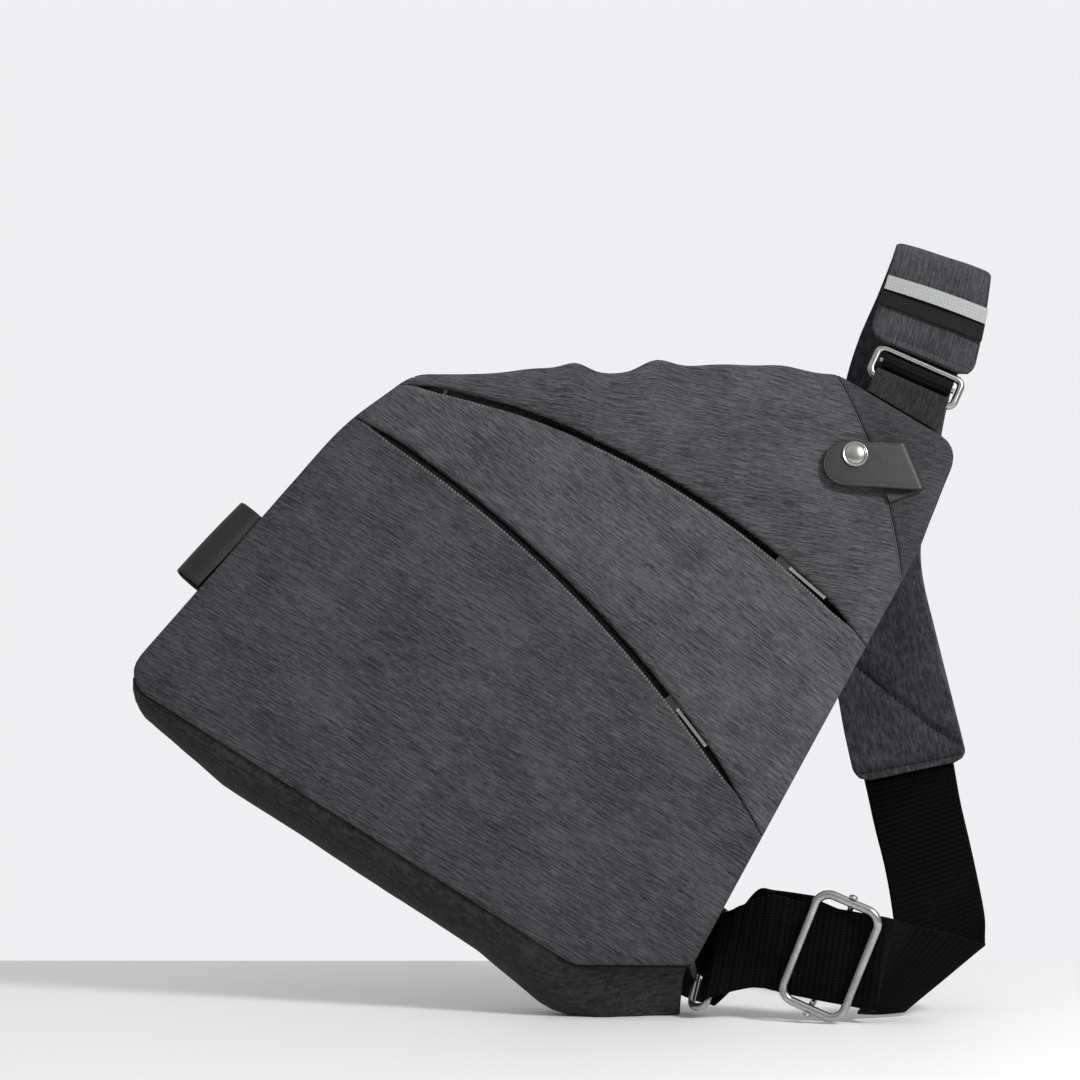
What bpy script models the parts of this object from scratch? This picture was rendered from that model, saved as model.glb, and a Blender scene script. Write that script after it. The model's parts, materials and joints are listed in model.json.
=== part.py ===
"""Sling bag that stands on its lower right corner, with the strap looped beside it.

Units are metres and +Z is up. Lengths below are written in millimetres and scaled by MM.
The bag is built in its own frame: s runs along the bottom edge, t runs up the bag and
n points out of the front. Z = 0 is the surface that the bag and the strap rest on.
"""

import math

import bmesh
import bpy
import numpy as np
from mathutils import Matrix

MM = 0.001
TOUCH_GAP = 0.3              # between pieces that rest against each other

# How the bag stands
ROLL_DEG = 32.0              # turned clockwise onto its lower right corner
LEAN_DEG = 10.0              # front leans back
BAG_ORIGIN = (-184.0, 21.7, 146.3)
FRAME_CENTRE = (14.0, 38.9)  # moves the middle of the whole object onto the Z axis

# Bag body
FABRIC = 1.5                 # laminated outer fabric
LINING = 0.8
BASE_THICKNESS = 50.0        # at BASE_HEIGHT above the floor
TOP_THICKNESS = 16.0         # at TOP_HEIGHT above the floor
BASE_HEIGHT = 15.0
TOP_HEIGHT = 275.0
RIM_DROP = 4.0               # how far the front curves back at its rim
RIM_WIDTH = 12.0
BACK_FOAM = 3.0
PAD_FOAM = 4.0

# Corners of the front outline: s, t, radius
FRONT_CORNERS = (
    (-1.5, 0.0, 12.0),
    (19.0, 150.0, 110.0),
    (33.0, 186.0, 20.0),
    (196.0, 288.0, 10.0),
    (259.0, 288.0, 10.0),
    (268.0, 236.0, 60.0),
    (277.5, 27.0, 6.0),
    (234.0, 0.0, 14.0),
)
# The same corners on the back panel, drawn in beside the corner ring
BACK_CORNERS = (
    (-0.5, 0.0, 12.0),
    (20.0, 150.0, 110.0),
    (34.0, 185.5, 20.0),
    (196.5, 287.0, 10.0),
    (258.0, 287.0, 10.0),
    (266.0, 236.0, 60.0),
    (259.5, 16.0, 6.0),
    (232.0, 0.0, 14.0),
)
CORNER_STEPS = 6

# Bulge of the bottom gusset below the front seam, at places along s
GUSSET_PLACES = (0.0, 14.0, 60.0, 195.0, 234.0, 250.0, 266.0, 273.0, 279.0)
GUSSET_BULGES = (0.5, 8.0, 14.5, 16.0, 21.0, 28.0, 27.0, 16.0, 2.0)
WALL_BULGE = 1.5

# Zips: centre and radius of each slot's arc, then the angles in degrees
UPPER_ZIP = {
    "name": "upper", "centre": (161.0, -151.6), "radius": 355.7,
    "slot": (110.5, 73.9), "chain": (107.6, 74.4), "parked": 80.2,
}
LOWER_ZIP = {
    "name": "lower", "centre": (15.8, -392.9), "radius": 548.0,
    "slot": (88.8, 64.1), "chain": (88.0, 64.6), "parked": 69.0,
}
SLOT_WIDTH = 3.5
SLOT_TAPER_DEG = 2.2
SEAM_GAP = 0.4
TAPE_WIDTH = 13.0
COIL_INNER = 0.8
COIL_OUTER = 3.0
FACING_INNER = 5.2
FACING_OUTER = 14.0
# Levels below the front surface
FACING_TOP = -2.5
SLIDER_TOP = -2.4
SLIDER_PLATE = 1.0
COIL_TOP = -3.7
COIL_BOTTOM = -5.4
TAPE_TOP = -5.7
TAPE_BOTTOM = -6.2
SLIDER_BOTTOM = -7.6
SLIDER_LENGTH = 10.0
SLIDER_HALF_WIDTH = 4.2
PULL_LENGTH = 20.0
PULL_WIDTH = 1.4
PULL_LEVEL = -1.35
PULL_KNUCKLE = 0.75
STOP_LENGTH = 1.6
EAR_INNER = 1.0
EAR_OUTER = 1.4

# Snap tab, in the bag's frame
FOLD_TOP = (238.0, 274.5)
FOLD_BOTTOM = (256.4, 260.4)
SNAP_CENTRE = (222.0, 257.0)
TAB_DIRECTION_DEG = 211.0
TAB_WIDTH = 20.0
TAB_LEATHER = 1.6
TAB_END_CENTRE = (221.0, 251.5)
TAB_BASE_LENGTH = 14.0
FLAP_UNDERSIDE = 4.0
CAP_RADIUS = 5.8

# Leather loop on the left side wall
LOOP_PLACE = 74.0            # up the wall from the lower left corner
LOOP_HALF_LENGTH = 21.5
LOOP_REACH = 12.4            # out from the wall
LOOP_LEATHER = 1.4
LOOP_INSIDE = 3.3            # half the gap between its two layers
LOOP_LEVEL = -13.0

# Ring at the top corner: its centre in the bag's frame and its turn in the front plane
TOP_RING_CENTRE = (226.7, 307.6, -10.0)
TOP_RING_TURN_DEG = 7.0
TOP_RING_SIZE = (44.0, 17.0)
TOP_RING_WIRE = 1.7
TOP_BAR_HEIGHT = 1.0         # centre bar above the ring's middle
TOP_BAR_RADIUS = 1.2
ROLL_HALF_WIDTH = 16.8
ROLL_RADIUS = 3.8
ROLL_BORE = 1.6
TOP_TAB_WIDTH = 35.6
TOP_TAB_THICKNESS = 1.6

# Strap
WEBBING_WIDTH = 40.0
WEBBING = 1.4
PAD_THICKNESS = 5.0

# Adjuster on the lower webbing, in the stage's frame
ADJUSTER_CENTRE = (124.3, -4.4, 28.6)
ADJUSTER_SIZE = (31.6, 52.4)
ADJUSTER_WIRE = 1.9
ADJUSTER_OFFSET = 3.8        # frame bars in front of the webbing's middle
ADJUSTER_BAR_RADIUS = 1.2
ADJUSTER_BAR_OFFSET = -4.4
ADJUSTER_POST = 22.6         # each end post from the middle of the bar
END_LOOP_INNER = 2.0
END_LOOP_OUTER = 3.2
END_LOOP_HALF_WIDTH = 18.5
END_TAIL_LENGTH = 17.0

# Ring at the lower corner
CORNER_RING_CENTRE = (73.5, 17.0, 24.7)
CORNER_RING_SIZE = (13.0, 47.0)
CORNER_RING_WIRE = 1.6
RING_WEBBING_HALF_WIDTH = 19.5
RING_WEBBING_WRAP = 3.7      # middle of the webbing from the ring's bar
CORNER_TAB_HALF_WIDTH = 12.0
CORNER_TAB_RAISED = 5.0
CORNER_TAB_REACH = -2.4


# ---------------------------------------------------------------- frames

def bag_axes():
    """Unit vectors of the bag's s, t and n directions."""
    roll = math.radians(ROLL_DEG)
    lean = math.radians(LEAN_DEG)
    across = np.array((1.0, 0.0, 0.0))
    upward = np.array((0.0, math.sin(lean), math.cos(lean)))
    s_axis = math.cos(roll) * across - math.sin(roll) * upward
    t_axis = math.sin(roll) * across + math.cos(roll) * upward
    n_axis = np.array((0.0, -math.cos(lean), math.sin(lean)))
    return s_axis, t_axis, n_axis


S_AXIS, T_AXIS, N_AXIS = bag_axes()
STAGE_SHIFT = np.array((-FRAME_CENTRE[0], -FRAME_CENTRE[1], 0.0))


def bag_point(s, t, n):
    """Stage position in millimetres of a point in the bag's frame."""
    return np.array(BAG_ORIGIN) + s * S_AXIS + t * T_AXIS + n * N_AXIS


def frame_matrix(origin, x_axis, y_axis):
    """Right-handed frame in metres at a stage point, with its X and Y axes given."""
    x_axis = np.array(x_axis, dtype=float)
    x_axis = x_axis / np.linalg.norm(x_axis)
    y_axis = np.array(y_axis, dtype=float)
    y_axis = y_axis - x_axis * x_axis.dot(y_axis)
    y_axis = y_axis / np.linalg.norm(y_axis)
    z_axis = np.cross(x_axis, y_axis)
    matrix = Matrix.Identity(4)
    for row in range(3):
        matrix[row][0] = x_axis[row]
        matrix[row][1] = y_axis[row]
        matrix[row][2] = z_axis[row]
        matrix[row][3] = (origin[row] + STAGE_SHIFT[row]) * MM
    return matrix


def new_empty(name, matrix, parent=None):
    empty = bpy.data.objects.new(name, None)
    bpy.context.scene.collection.objects.link(empty)
    empty.empty_display_size = 0.01
    empty.parent = parent
    empty.matrix_world = matrix
    bpy.context.view_layer.update()
    return empty


# ---------------------------------------------------------------- materials

def make_material(name, colour, roughness, metallic=0.0):
    material = bpy.data.materials.new(name)
    material.use_nodes = True
    shader = material.node_tree.nodes["Principled BSDF"]
    shader.inputs["Base Color"].default_value = (*colour, 1.0)
    shader.inputs["Roughness"].default_value = roughness
    shader.inputs["Metallic"].default_value = metallic
    return material


# ---------------------------------------------------------------- mesh helpers

def add_object(name, points, faces, parent, material, smooth=False):
    """Link a closed mesh given in millimetres in its parent's frame."""
    mesh = bpy.data.meshes.new(name)
    mesh.from_pydata([tuple(c * MM for c in point) for point in points], [], faces)
    body = bmesh.new()
    body.from_mesh(mesh)
    bmesh.ops.recalc_face_normals(body, faces=body.faces)
    body.to_mesh(mesh)
    body.free()
    if smooth:
        mesh.shade_smooth()
        mesh.set_sharp_from_angle(angle=math.radians(40.0))
    mesh.materials.append(material)
    item = bpy.data.objects.new(name, mesh)
    bpy.context.scene.collection.objects.link(item)
    item.parent = parent
    return item


def skin_solid(outer, inner, faces):
    """Close the space between two point lists that share one face layout."""
    count = len(outer)
    points = list(outer) + list(inner)
    solid_faces = [tuple(face) for face in faces]
    solid_faces += [tuple(index + count for index in reversed(face)) for face in faces]
    used = set()
    for face in faces:
        used.update(zip(face, face[1:] + face[:1]))
    for start, end in used:
        if (end, start) not in used:
            solid_faces.append((end, start, start + count, end + count))
    return points, solid_faces


def grid_faces(rows, columns, wrap=False):
    faces = []
    for row in range(rows - 1 + int(wrap)):
        after = (row + 1) % rows
        for column in range(columns - 1):
            corner = row * columns + column
            opposite = after * columns + column + 1
            faces.append((corner, corner + 1, opposite))
            faces.append((corner, opposite, opposite - 1))
    return faces


def box_solid(low, high):
    """Points and faces of a box between two corners."""
    points = [(x, y, z) for x in (low[0], high[0]) for y in (low[1], high[1])
              for z in (low[2], high[2])]
    faces = [(0, 1, 3, 2), (4, 6, 7, 5), (0, 4, 5, 1), (2, 3, 7, 6), (0, 2, 6, 4), (1, 5, 7, 3)]
    return points, faces


def prism_solid(profile, low, high, order=(0, 1, 2)):
    """Extrude a closed 2-D profile from low to high; order places the three coordinates."""
    count = len(profile)
    points = []
    for level in (low, high):
        for first, second in profile:
            values = (first, second, level)
            points.append(tuple(values[index] for index in order))
    faces = [tuple(range(count)), tuple(reversed(range(count, 2 * count)))]
    for index in range(count):
        after = (index + 1) % count
        faces.append((index, after, after + count, index + count))
    return points, faces


def turned_solid(profile, segments=20):
    """Revolve a profile of radius and height about Z; zero radii at its ends are poles."""
    points = []
    rings = []
    for radius, height in profile:
        if radius == 0.0:
            rings.append([len(points)] * segments)
            points.append((0.0, 0.0, height))
            continue
        ring = []
        for step in range(segments):
            angle = 2.0 * math.pi * step / segments
            ring.append(len(points))
            points.append((radius * math.cos(angle), radius * math.sin(angle), height))
        rings.append(ring)
    closed = profile[0][0] != 0.0
    faces = []
    pairs = list(zip(rings, rings[1:]))
    if closed:
        pairs.append((rings[-1], rings[0]))
    for lower, upper in pairs:
        for step in range(segments):
            after = (step + 1) % segments
            face = (lower[step], lower[after], upper[after], upper[step])
            unique = tuple(dict.fromkeys(face))
            if len(unique) > 2:
                faces.append(unique)
    return points, faces


def joined(*solids):
    """Several separate solids in one point and face list."""
    points = []
    faces = []
    for solid_points, solid_faces in solids:
        shift = len(points)
        points += list(solid_points)
        faces += [tuple(index + shift for index in face) for face in solid_faces]
    return points, faces


def moved(solid, offset):
    points, faces = solid
    return [tuple(np.add(point, offset)) for point in points], faces


def hidden_operand(name, solid, parent, material):
    """A guide that a Boolean modifier reads and that isn't a part itself."""
    guide = add_object(name, *solid, parent, material)
    guide.hide_render = True
    guide.display_type = "WIRE"
    return guide


def apply_boolean(item, operand, operation):
    modifier = item.modifiers.new(operand.name, "BOOLEAN")
    modifier.operation = operation
    modifier.solver = "EXACT"
    modifier.object = operand


def wire_ring(name, size, wire, corner, parent, material, lift=0.0):
    """Rounded rectangle of round wire in its parent's XY plane; size is measured outside."""
    half_x = (size[0] / 2.0 - wire) * MM
    half_y = (size[1] / 2.0 - wire) * MM
    round_off = corner * MM
    path = []
    for sign_x, sign_y, start in ((1, 1, 0), (-1, 1, 90), (-1, -1, 180), (1, -1, 270)):
        for step in range(6):
            angle = math.radians(start + 18.0 * step)
            path.append((sign_x * (half_x - round_off) + round_off * math.cos(angle),
                         sign_y * (half_y - round_off) + round_off * math.sin(angle),
                         lift * MM))
    curve = bpy.data.curves.new(name, "CURVE")
    curve.dimensions = "3D"
    curve.bevel_depth = wire * MM
    curve.bevel_resolution = 3
    spline = curve.splines.new("POLY")
    spline.points.add(len(path) - 1)
    for point, place in zip(spline.points, path):
        point.co = (*place, 1.0)
    spline.use_cyclic_u = True
    curve.materials.append(material)
    item = bpy.data.objects.new(name, curve)
    bpy.context.scene.collection.objects.link(item)
    item.parent = parent
    return item


# ---------------------------------------------------------------- bag outline

def rounded_outline(corners):
    """Closed outline through corners with fillets; returns points and each fillet's middle."""
    points = []
    middles = []
    count = len(corners)
    for index, (s, t, radius) in enumerate(corners):
        here = np.array((s, t))
        before = np.array(corners[index - 1][:2]) - here
        after = np.array(corners[(index + 1) % count][:2]) - here
        before = before / np.linalg.norm(before)
        after = after / np.linalg.norm(after)
        half = math.acos(np.clip(before.dot(after), -1.0, 1.0)) / 2.0
        bisector = (before + after) / np.linalg.norm(before + after)
        centre = here + bisector * radius / math.sin(half)
        start = here + before * radius / math.tan(half) - centre
        end = here + after * radius / math.tan(half) - centre
        first = math.atan2(start[1], start[0])
        sweep = (math.atan2(end[1], end[0]) - first + math.pi) % (2.0 * math.pi) - math.pi
        middles.append(len(points) + CORNER_STEPS // 2)
        for step in range(CORNER_STEPS + 1):
            angle = first + sweep * step / CORNER_STEPS
            points.append(centre + radius * np.array((math.cos(angle), math.sin(angle))))
    return np.array(points), middles


FRONT_OUTLINE, CORNER_MIDDLES = rounded_outline(FRONT_CORNERS)
BACK_OUTLINE, _ = rounded_outline(BACK_CORNERS)


def outline_distance(outline, s, t):
    """Distance from a point to the nearest side of a closed outline."""
    place = np.array((s, t))
    start = outline
    span = np.roll(outline, -1, axis=0) - start
    along = ((place - start) * span).sum(1) / (span ** 2).sum(1)
    nearest = start + span * np.clip(along, 0.0, 1.0)[:, None]
    return float(np.sqrt(((place - nearest) ** 2).sum(1)).min())


def front_level(s, t):
    """Outer front surface: flat in the middle and curved back at the rim."""
    inward = min(outline_distance(FRONT_OUTLINE, s, t) / RIM_WIDTH, 1.0)
    return -RIM_DROP * (1.0 - inward) ** 2


def thickness_at(s, t):
    height = BAG_ORIGIN[2] + s * S_AXIS[2] + t * T_AXIS[2]
    share = (height - BASE_HEIGHT) / (TOP_HEIGHT - BASE_HEIGHT)
    return BASE_THICKNESS + (TOP_THICKNESS - BASE_THICKNESS) * share


def back_level(s, t):
    return -thickness_at(s, t)


def inset_corners(corners, distance):
    """The same corners moved inwards, with each fillet that much tighter."""
    moved_in = []
    count = len(corners)
    for index, (s, t, radius) in enumerate(corners):
        here = np.array((s, t))
        before = np.array(corners[index - 1][:2]) - here
        after = np.array(corners[(index + 1) % count][:2]) - here
        before = before / np.linalg.norm(before)
        after = after / np.linalg.norm(after)
        half = math.acos(np.clip(before.dot(after), -1.0, 1.0)) / 2.0
        bisector = (before + after) / np.linalg.norm(before + after)
        place = here + bisector * distance / math.sin(half)
        moved_in.append((*place, max(radius - distance, 3.0)))
    return moved_in


def between_corners(share):
    """Corners part of the way from the front outline to the back one."""
    return [tuple(a + (b - a) * share for a, b in zip(front, back))
            for front, back in zip(FRONT_CORNERS, BACK_CORNERS)]


def split_outline(outline, cut):
    """Split a closed outline by an open line that crosses it twice.

    Returns the part that lies on the line's left and the part on its right.
    """
    crossings = []
    count = len(outline)
    for i in range(count):
        p = outline[i]
        r = outline[(i + 1) % count] - p
        for j in range(len(cut) - 1):
            q = cut[j]
            d = cut[j + 1] - q
            cross = r[0] * d[1] - r[1] * d[0]
            if abs(cross) < 1e-12:
                continue
            u = ((q - p)[0] * d[1] - (q - p)[1] * d[0]) / cross
            v = ((q - p)[0] * r[1] - (q - p)[1] * r[0]) / cross
            if 0.0 <= u < 1.0 and 0.0 <= v < 1.0:
                crossings.append((i, j, p + r * u))
    crossings.sort(key=lambda item: item[1])
    (i0, j0, x0), (i1, j1, x1) = crossings[0], crossings[-1]
    middle = [cut[j] for j in range(j0 + 1, j1 + 1)]

    def walk(first, last):
        found = []
        index = (first + 1) % count
        while True:
            found.append(outline[index])
            if index == last:
                return found
            index = (index + 1) % count

    forward = [x0] + middle + [x1] + walk(i1, i0)
    backward = [x1] + middle[::-1] + [x0] + walk(i0, i1)
    heading = x1 - x0
    centre = np.mean(forward, axis=0) - x0
    left_first = heading[0] * centre[1] - heading[1] * centre[0] > 0.0
    parts = (np.array(forward), np.array(backward))
    return parts if left_first else parts[::-1]


def grid_lines(outline, cell):
    """Lines of a square grid over an outline, each as a point and a normal."""
    lines = []
    for axis in range(2):
        normal = np.eye(3)[axis]
        low, high = outline[:, axis].min(), outline[:, axis].max()
        for place in np.arange(math.ceil(low / cell) * cell, high, cell):
            lines.append((normal * place, normal))
    return lines


def rim_lines():
    """Lines inside each side of the front outline, where the rim's curve needs points."""
    lines = []
    corners = np.array(FRONT_CORNERS)[:, :2]
    for start, end in zip(corners, np.roll(corners, -1, axis=0)):
        heading = (end - start) / np.linalg.norm(end - start)
        inward = np.array((heading[1], -heading[0], 0.0))
        for depth in (RIM_WIDTH / 3.0, RIM_WIDTH):
            lines.append((np.array((*start, 0.0)) + inward * depth, inward))
    return lines


def plate_solid(outline, upper, lower, lines):
    """Solid over an outline between two level functions, cut along lines to follow them."""
    body = bmesh.new()
    body.faces.new([body.verts.new((s, t, 0.0)) for s, t in outline])
    for place, normal in lines:
        geometry = body.verts[:] + body.edges[:] + body.faces[:]
        bmesh.ops.bisect_plane(body, geom=geometry, dist=1e-4, plane_co=place.tolist(),
                               plane_no=normal.tolist())
    bmesh.ops.triangulate(body, faces=body.faces)
    body.verts.index_update()
    flat = [(vert.co.x, vert.co.y) for vert in body.verts]
    faces = [tuple(vert.index for vert in face.verts) for face in body.faces]
    body.free()
    outer = [(s, t, upper(s, t)) for s, t in flat]
    inner = [(s, t, lower(s, t)) for s, t in flat]
    return skin_solid(outer, inner, faces)


# ---------------------------------------------------------------- bag panels

def zip_polar(zipper, angle_deg, radius):
    angle = math.radians(angle_deg)
    return np.array((zipper["centre"][0] + radius * math.cos(angle),
                     zipper["centre"][1] + radius * math.sin(angle)))


def slot_half_width(zipper, angle):
    """Half the gap between the panels: full along the slot and a seam beyond its ends."""
    inside = min(zipper["slot"][0] - angle, angle - zipper["slot"][1])
    share = max(0.0, min(1.0, inside / SLOT_TAPER_DEG))
    opening = math.sin(share * math.pi / 2.0)
    return (SEAM_GAP + (SLOT_WIDTH - SEAM_GAP) * opening) / 2.0


def zip_edge(zipper, side):
    """Line of one panel edge along a slot, carried on past the bag's outline."""
    angles = np.linspace(zipper["slot"][0] + 9.0, zipper["slot"][1] - 9.0, 56)
    return np.array([zip_polar(zipper, angle, zipper["radius"]
                               + side * slot_half_width(zipper, angle)) for angle in angles])


def corner_seam(offset):
    """Seam between the upper panel and the top corner panel."""
    start = np.array((194.5, 288.0))
    end = np.array((267.7, 222.0))
    heading = (end - start) / np.linalg.norm(end - start)
    normal = np.array((heading[1], -heading[0]))
    points = []
    for share in np.linspace(-0.3, 1.3, 17):
        bow = -4.5 * math.sin(math.pi * share) if 0.0 < share < 1.0 else 0.0
        points.append(start + (end - start) * share + normal * (bow + offset))
    return np.array(points)


def front_panels(bag, fabric, fabric_fine):
    above_lower, below_lower = split_outline(FRONT_OUTLINE, zip_edge(LOWER_ZIP, -1))
    above_lower, _ = split_outline(FRONT_OUTLINE, zip_edge(LOWER_ZIP, 1))
    _, middle = split_outline(above_lower, zip_edge(UPPER_ZIP, -1))
    above_upper, _ = split_outline(FRONT_OUTLINE, zip_edge(UPPER_ZIP, 1))
    half_seam = SEAM_GAP / 2.0
    _, upper = split_outline(above_upper, corner_seam(half_seam))
    corner, _ = split_outline(above_upper, corner_seam(-half_seam))
    panels = (
        ("front_lower_panel", below_lower, fabric),
        ("front_middle_panel", middle, fabric),
        ("front_upper_panel", upper, fabric),
        ("top_corner_panel", corner, fabric_fine),
    )
    for name, outline, material in panels:
        solid = plate_solid(outline, front_level, lambda s, t: front_level(s, t) - FABRIC,
                            grid_lines(outline, 40.0) + rim_lines())
        add_object(name, *solid, bag, material)


def lift_to_floor(point, clearance):
    """Push a point of the bag's frame straight up until it is above the floor."""
    height = BAG_ORIGIN[2] + point[0] * S_AXIS[2] + point[1] * T_AXIS[2] + point[2] * N_AXIS[2]
    lift = max(0.0, clearance - height)
    return point + lift * np.array((S_AXIS[2], T_AXIS[2], N_AXIS[2]))


def wall_solid(first, last, bulge_at, rows):
    """Side wall between the middles of two corners, from the front rim to the back panel."""
    count = len(FRONT_OUTLINE)
    indices = [CORNER_MIDDLES[first]]
    while indices[-1] != CORNER_MIDDLES[last]:
        indices.append((indices[-1] - 1) % count)
    front = FRONT_OUTLINE[indices]
    back = BACK_OUTLINE[indices]
    front, back = densify(front, back, 16.0)
    tangent = np.gradient(front, axis=0)
    tangent = tangent / np.linalg.norm(tangent, axis=1)[:, None]
    outward = np.stack((tangent[:, 1], -tangent[:, 0]), axis=1)
    inset = 0.4
    front[0] += tangent[0] * inset
    back[0] += tangent[0] * inset
    front[-1] -= tangent[-1] * inset
    back[-1] -= tangent[-1] * inset
    rim = -RIM_DROP - FABRIC - TOUCH_GAP
    outer = []
    inner = []
    for front_place, back_place, away in zip(front, back, outward):
        bulge = bulge_at(front_place[0])
        floor_of_back = back_level(*back_place) + FABRIC + 2.0 * TOUCH_GAP
        for share in np.linspace(0.0, 1.0, rows):
            place = front_place + (back_place - front_place) * share
            puff = bulge * math.sin(math.pi * share) ** 0.6
            level = rim + (floor_of_back - rim) * share
            surface = np.array((*(place + away * puff), level))
            lining = np.array((*(place + away * (puff * 0.97 - FABRIC)), level))
            outer.append(lift_to_floor(surface, 0.0))
            inner.append(lift_to_floor(lining, FABRIC))
    return skin_solid(outer, inner, grid_faces(len(front), rows))


def densify(front, back, step):
    """Add points to two matching lines so that no gap in the first is longer than step."""
    new_front = [front[0]]
    new_back = [back[0]]
    for index in range(1, len(front)):
        gap = np.linalg.norm(front[index] - front[index - 1])
        pieces = max(1, math.ceil(gap / step))
        for piece in range(1, pieces + 1):
            share = piece / pieces
            new_front.append(front[index - 1] + (front[index] - front[index - 1]) * share)
            new_back.append(back[index - 1] + (back[index] - back[index - 1]) * share)
    return np.array(new_front), np.array(new_back)


def side_walls(bag, fabric, gusset_fabric):
    def gusset_bulge(s):
        return float(np.interp(s, GUSSET_PLACES, GUSSET_BULGES))

    def plain_bulge(s):
        return WALL_BULGE

    walls = (
        ("bottom_gusset", 0, 6, gusset_bulge, 9, gusset_fabric),
        ("right_side_wall", 6, 4, plain_bulge, 4, gusset_fabric),
        ("top_side_wall", 4, 3, plain_bulge, 4, gusset_fabric),
        ("shoulder_side_wall", 3, 2, plain_bulge, 4, gusset_fabric),
        ("left_side_wall", 2, 0, plain_bulge, 4, gusset_fabric),
    )
    for name, first, last, bulge_at, rows, material in walls:
        add_object(name, *wall_solid(first, last, bulge_at, rows), bag, material)


def back_and_inside(bag, materials):
    """Back panel, its padding and lining, the pocket divider and the slip pocket."""
    def above_back(offset):
        return lambda s, t: back_level(s, t) + offset

    def plate(name, outline, low, high, material):
        solid = plate_solid(outline, above_back(high), above_back(low),
                            grid_lines(outline, 90.0))
        add_object(name, *solid, bag, materials[material])

    def back_inset(distance):
        return rounded_outline(inset_corners(BACK_CORNERS, distance))[0]

    plate("back_panel", BACK_OUTLINE, 0.0, FABRIC, "fabric")
    plate("back_mesh_pad", back_inset(22.0), -TOUCH_GAP - PAD_FOAM, -TOUCH_GAP, "mesh")
    foam_low = FABRIC + TOUCH_GAP
    foam_high = foam_low + BACK_FOAM
    plate("back_foam", back_inset(3.5), foam_low, foam_high, "foam")
    lining_low = foam_high + TOUCH_GAP
    plate("back_lining", back_inset(4.0), lining_low, lining_low + LINING, "lining")
    pocket_low = lining_low + LINING + TOUCH_GAP
    pocket = np.array(((70.0, 45.0), (70.0, 120.0), (190.0, 120.0), (190.0, 45.0)))
    plate("inner_slip_pocket", pocket, pocket_low, pocket_low + LINING, "lining")

    between, _ = rounded_outline(inset_corners(between_corners(0.3), 3.0))
    _, below_zip = split_outline(between, zip_edge(UPPER_ZIP, -5))

    def divider_level(s, t):
        return -8.6 - 0.22 * (thickness_at(s, t) - TOP_THICKNESS)

    solid = plate_solid(below_zip, divider_level,
                        lambda s, t: divider_level(s, t) - LINING, grid_lines(below_zip, 90.0))
    add_object("pocket_divider", *solid, bag, materials["lining"])


# ---------------------------------------------------------------- zips

def swept_solid(sections):
    """Closed body through equal loops of points, with both ends capped."""
    count = len(sections[0])
    points = [tuple(point) for section in sections for point in section]
    faces = [tuple(reversed(range(count))),
             tuple(range((len(sections) - 1) * count, len(sections) * count))]
    for row in range(len(sections) - 1):
        for column in range(count):
            after = (column + 1) % count
            faces.append((row * count + column, row * count + after,
                          (row + 1) * count + after, (row + 1) * count + column))
    return points, faces


def arc_strip(zipper, side, offsets, levels, angles):
    """Strip along a slot, between two offsets from its arc and two levels."""
    near, far = (zipper["radius"] + side * offset for offset in offsets)
    sections = []
    steps = max(8, int(abs(angles[0] - angles[1])))
    for angle in np.linspace(angles[0], angles[1], steps):
        inner = zip_polar(zipper, angle, near)
        outer = zip_polar(zipper, angle, far)
        sections.append([(*inner, levels[0]), (*outer, levels[0]),
                         (*outer, levels[1]), (*inner, levels[1])])
    return swept_solid(sections)


def circle_profile(radius, segments=12, centre=(0.0, 0.0)):
    return [(centre[0] + radius * math.cos(2.0 * math.pi * step / segments),
             centre[1] + radius * math.sin(2.0 * math.pi * step / segments))
            for step in range(segments)]


def zip_slider(prefix, pivot, metal):
    """Slider in its own frame: X across the zip, Y along its travel, Z out of the bag."""
    plate_base = SLIDER_TOP - SLIDER_PLATE
    flange = 3.4
    post = 0.5
    lower_top = TAPE_BOTTOM - TOUCH_GAP
    half = SLIDER_HALF_WIDTH
    profile = [(-half, SLIDER_TOP), (-half, COIL_BOTTOM), (-flange, COIL_BOTTOM),
               (-flange, plate_base), (-post, plate_base), (-post, lower_top),
               (-half, lower_top), (-half, SLIDER_BOTTOM), (half, SLIDER_BOTTOM),
               (half, lower_top), (post, lower_top), (post, plate_base),
               (flange, plate_base), (flange, COIL_BOTTOM), (half, COIL_BOTTOM),
               (half, SLIDER_TOP)]
    body = prism_solid(profile, -SLIDER_LENGTH / 2.0, SLIDER_LENGTH / 2.0, (0, 2, 1))
    slider = add_object(prefix + "_zip_slider", *body, pivot, metal)
    root = SLIDER_TOP - 0.3
    ear_top = PULL_LEVEL + 0.75
    ears = joined(box_solid((EAR_INNER, 1.6, root), (EAR_OUTER, 3.4, ear_top)),
                  box_solid((-EAR_OUTER, 1.6, root), (-EAR_INNER, 3.4, ear_top)))
    pin = prism_solid(circle_profile(0.25, 8, (2.5, PULL_LEVEL)), -1.2, 1.2, (2, 0, 1))
    for label, solid in (("ears", ears), ("pin", pin)):
        guide = hidden_operand(prefix + "_slider_" + label, solid, pivot, metal)
        apply_boolean(slider, guide, "UNION")


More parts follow.
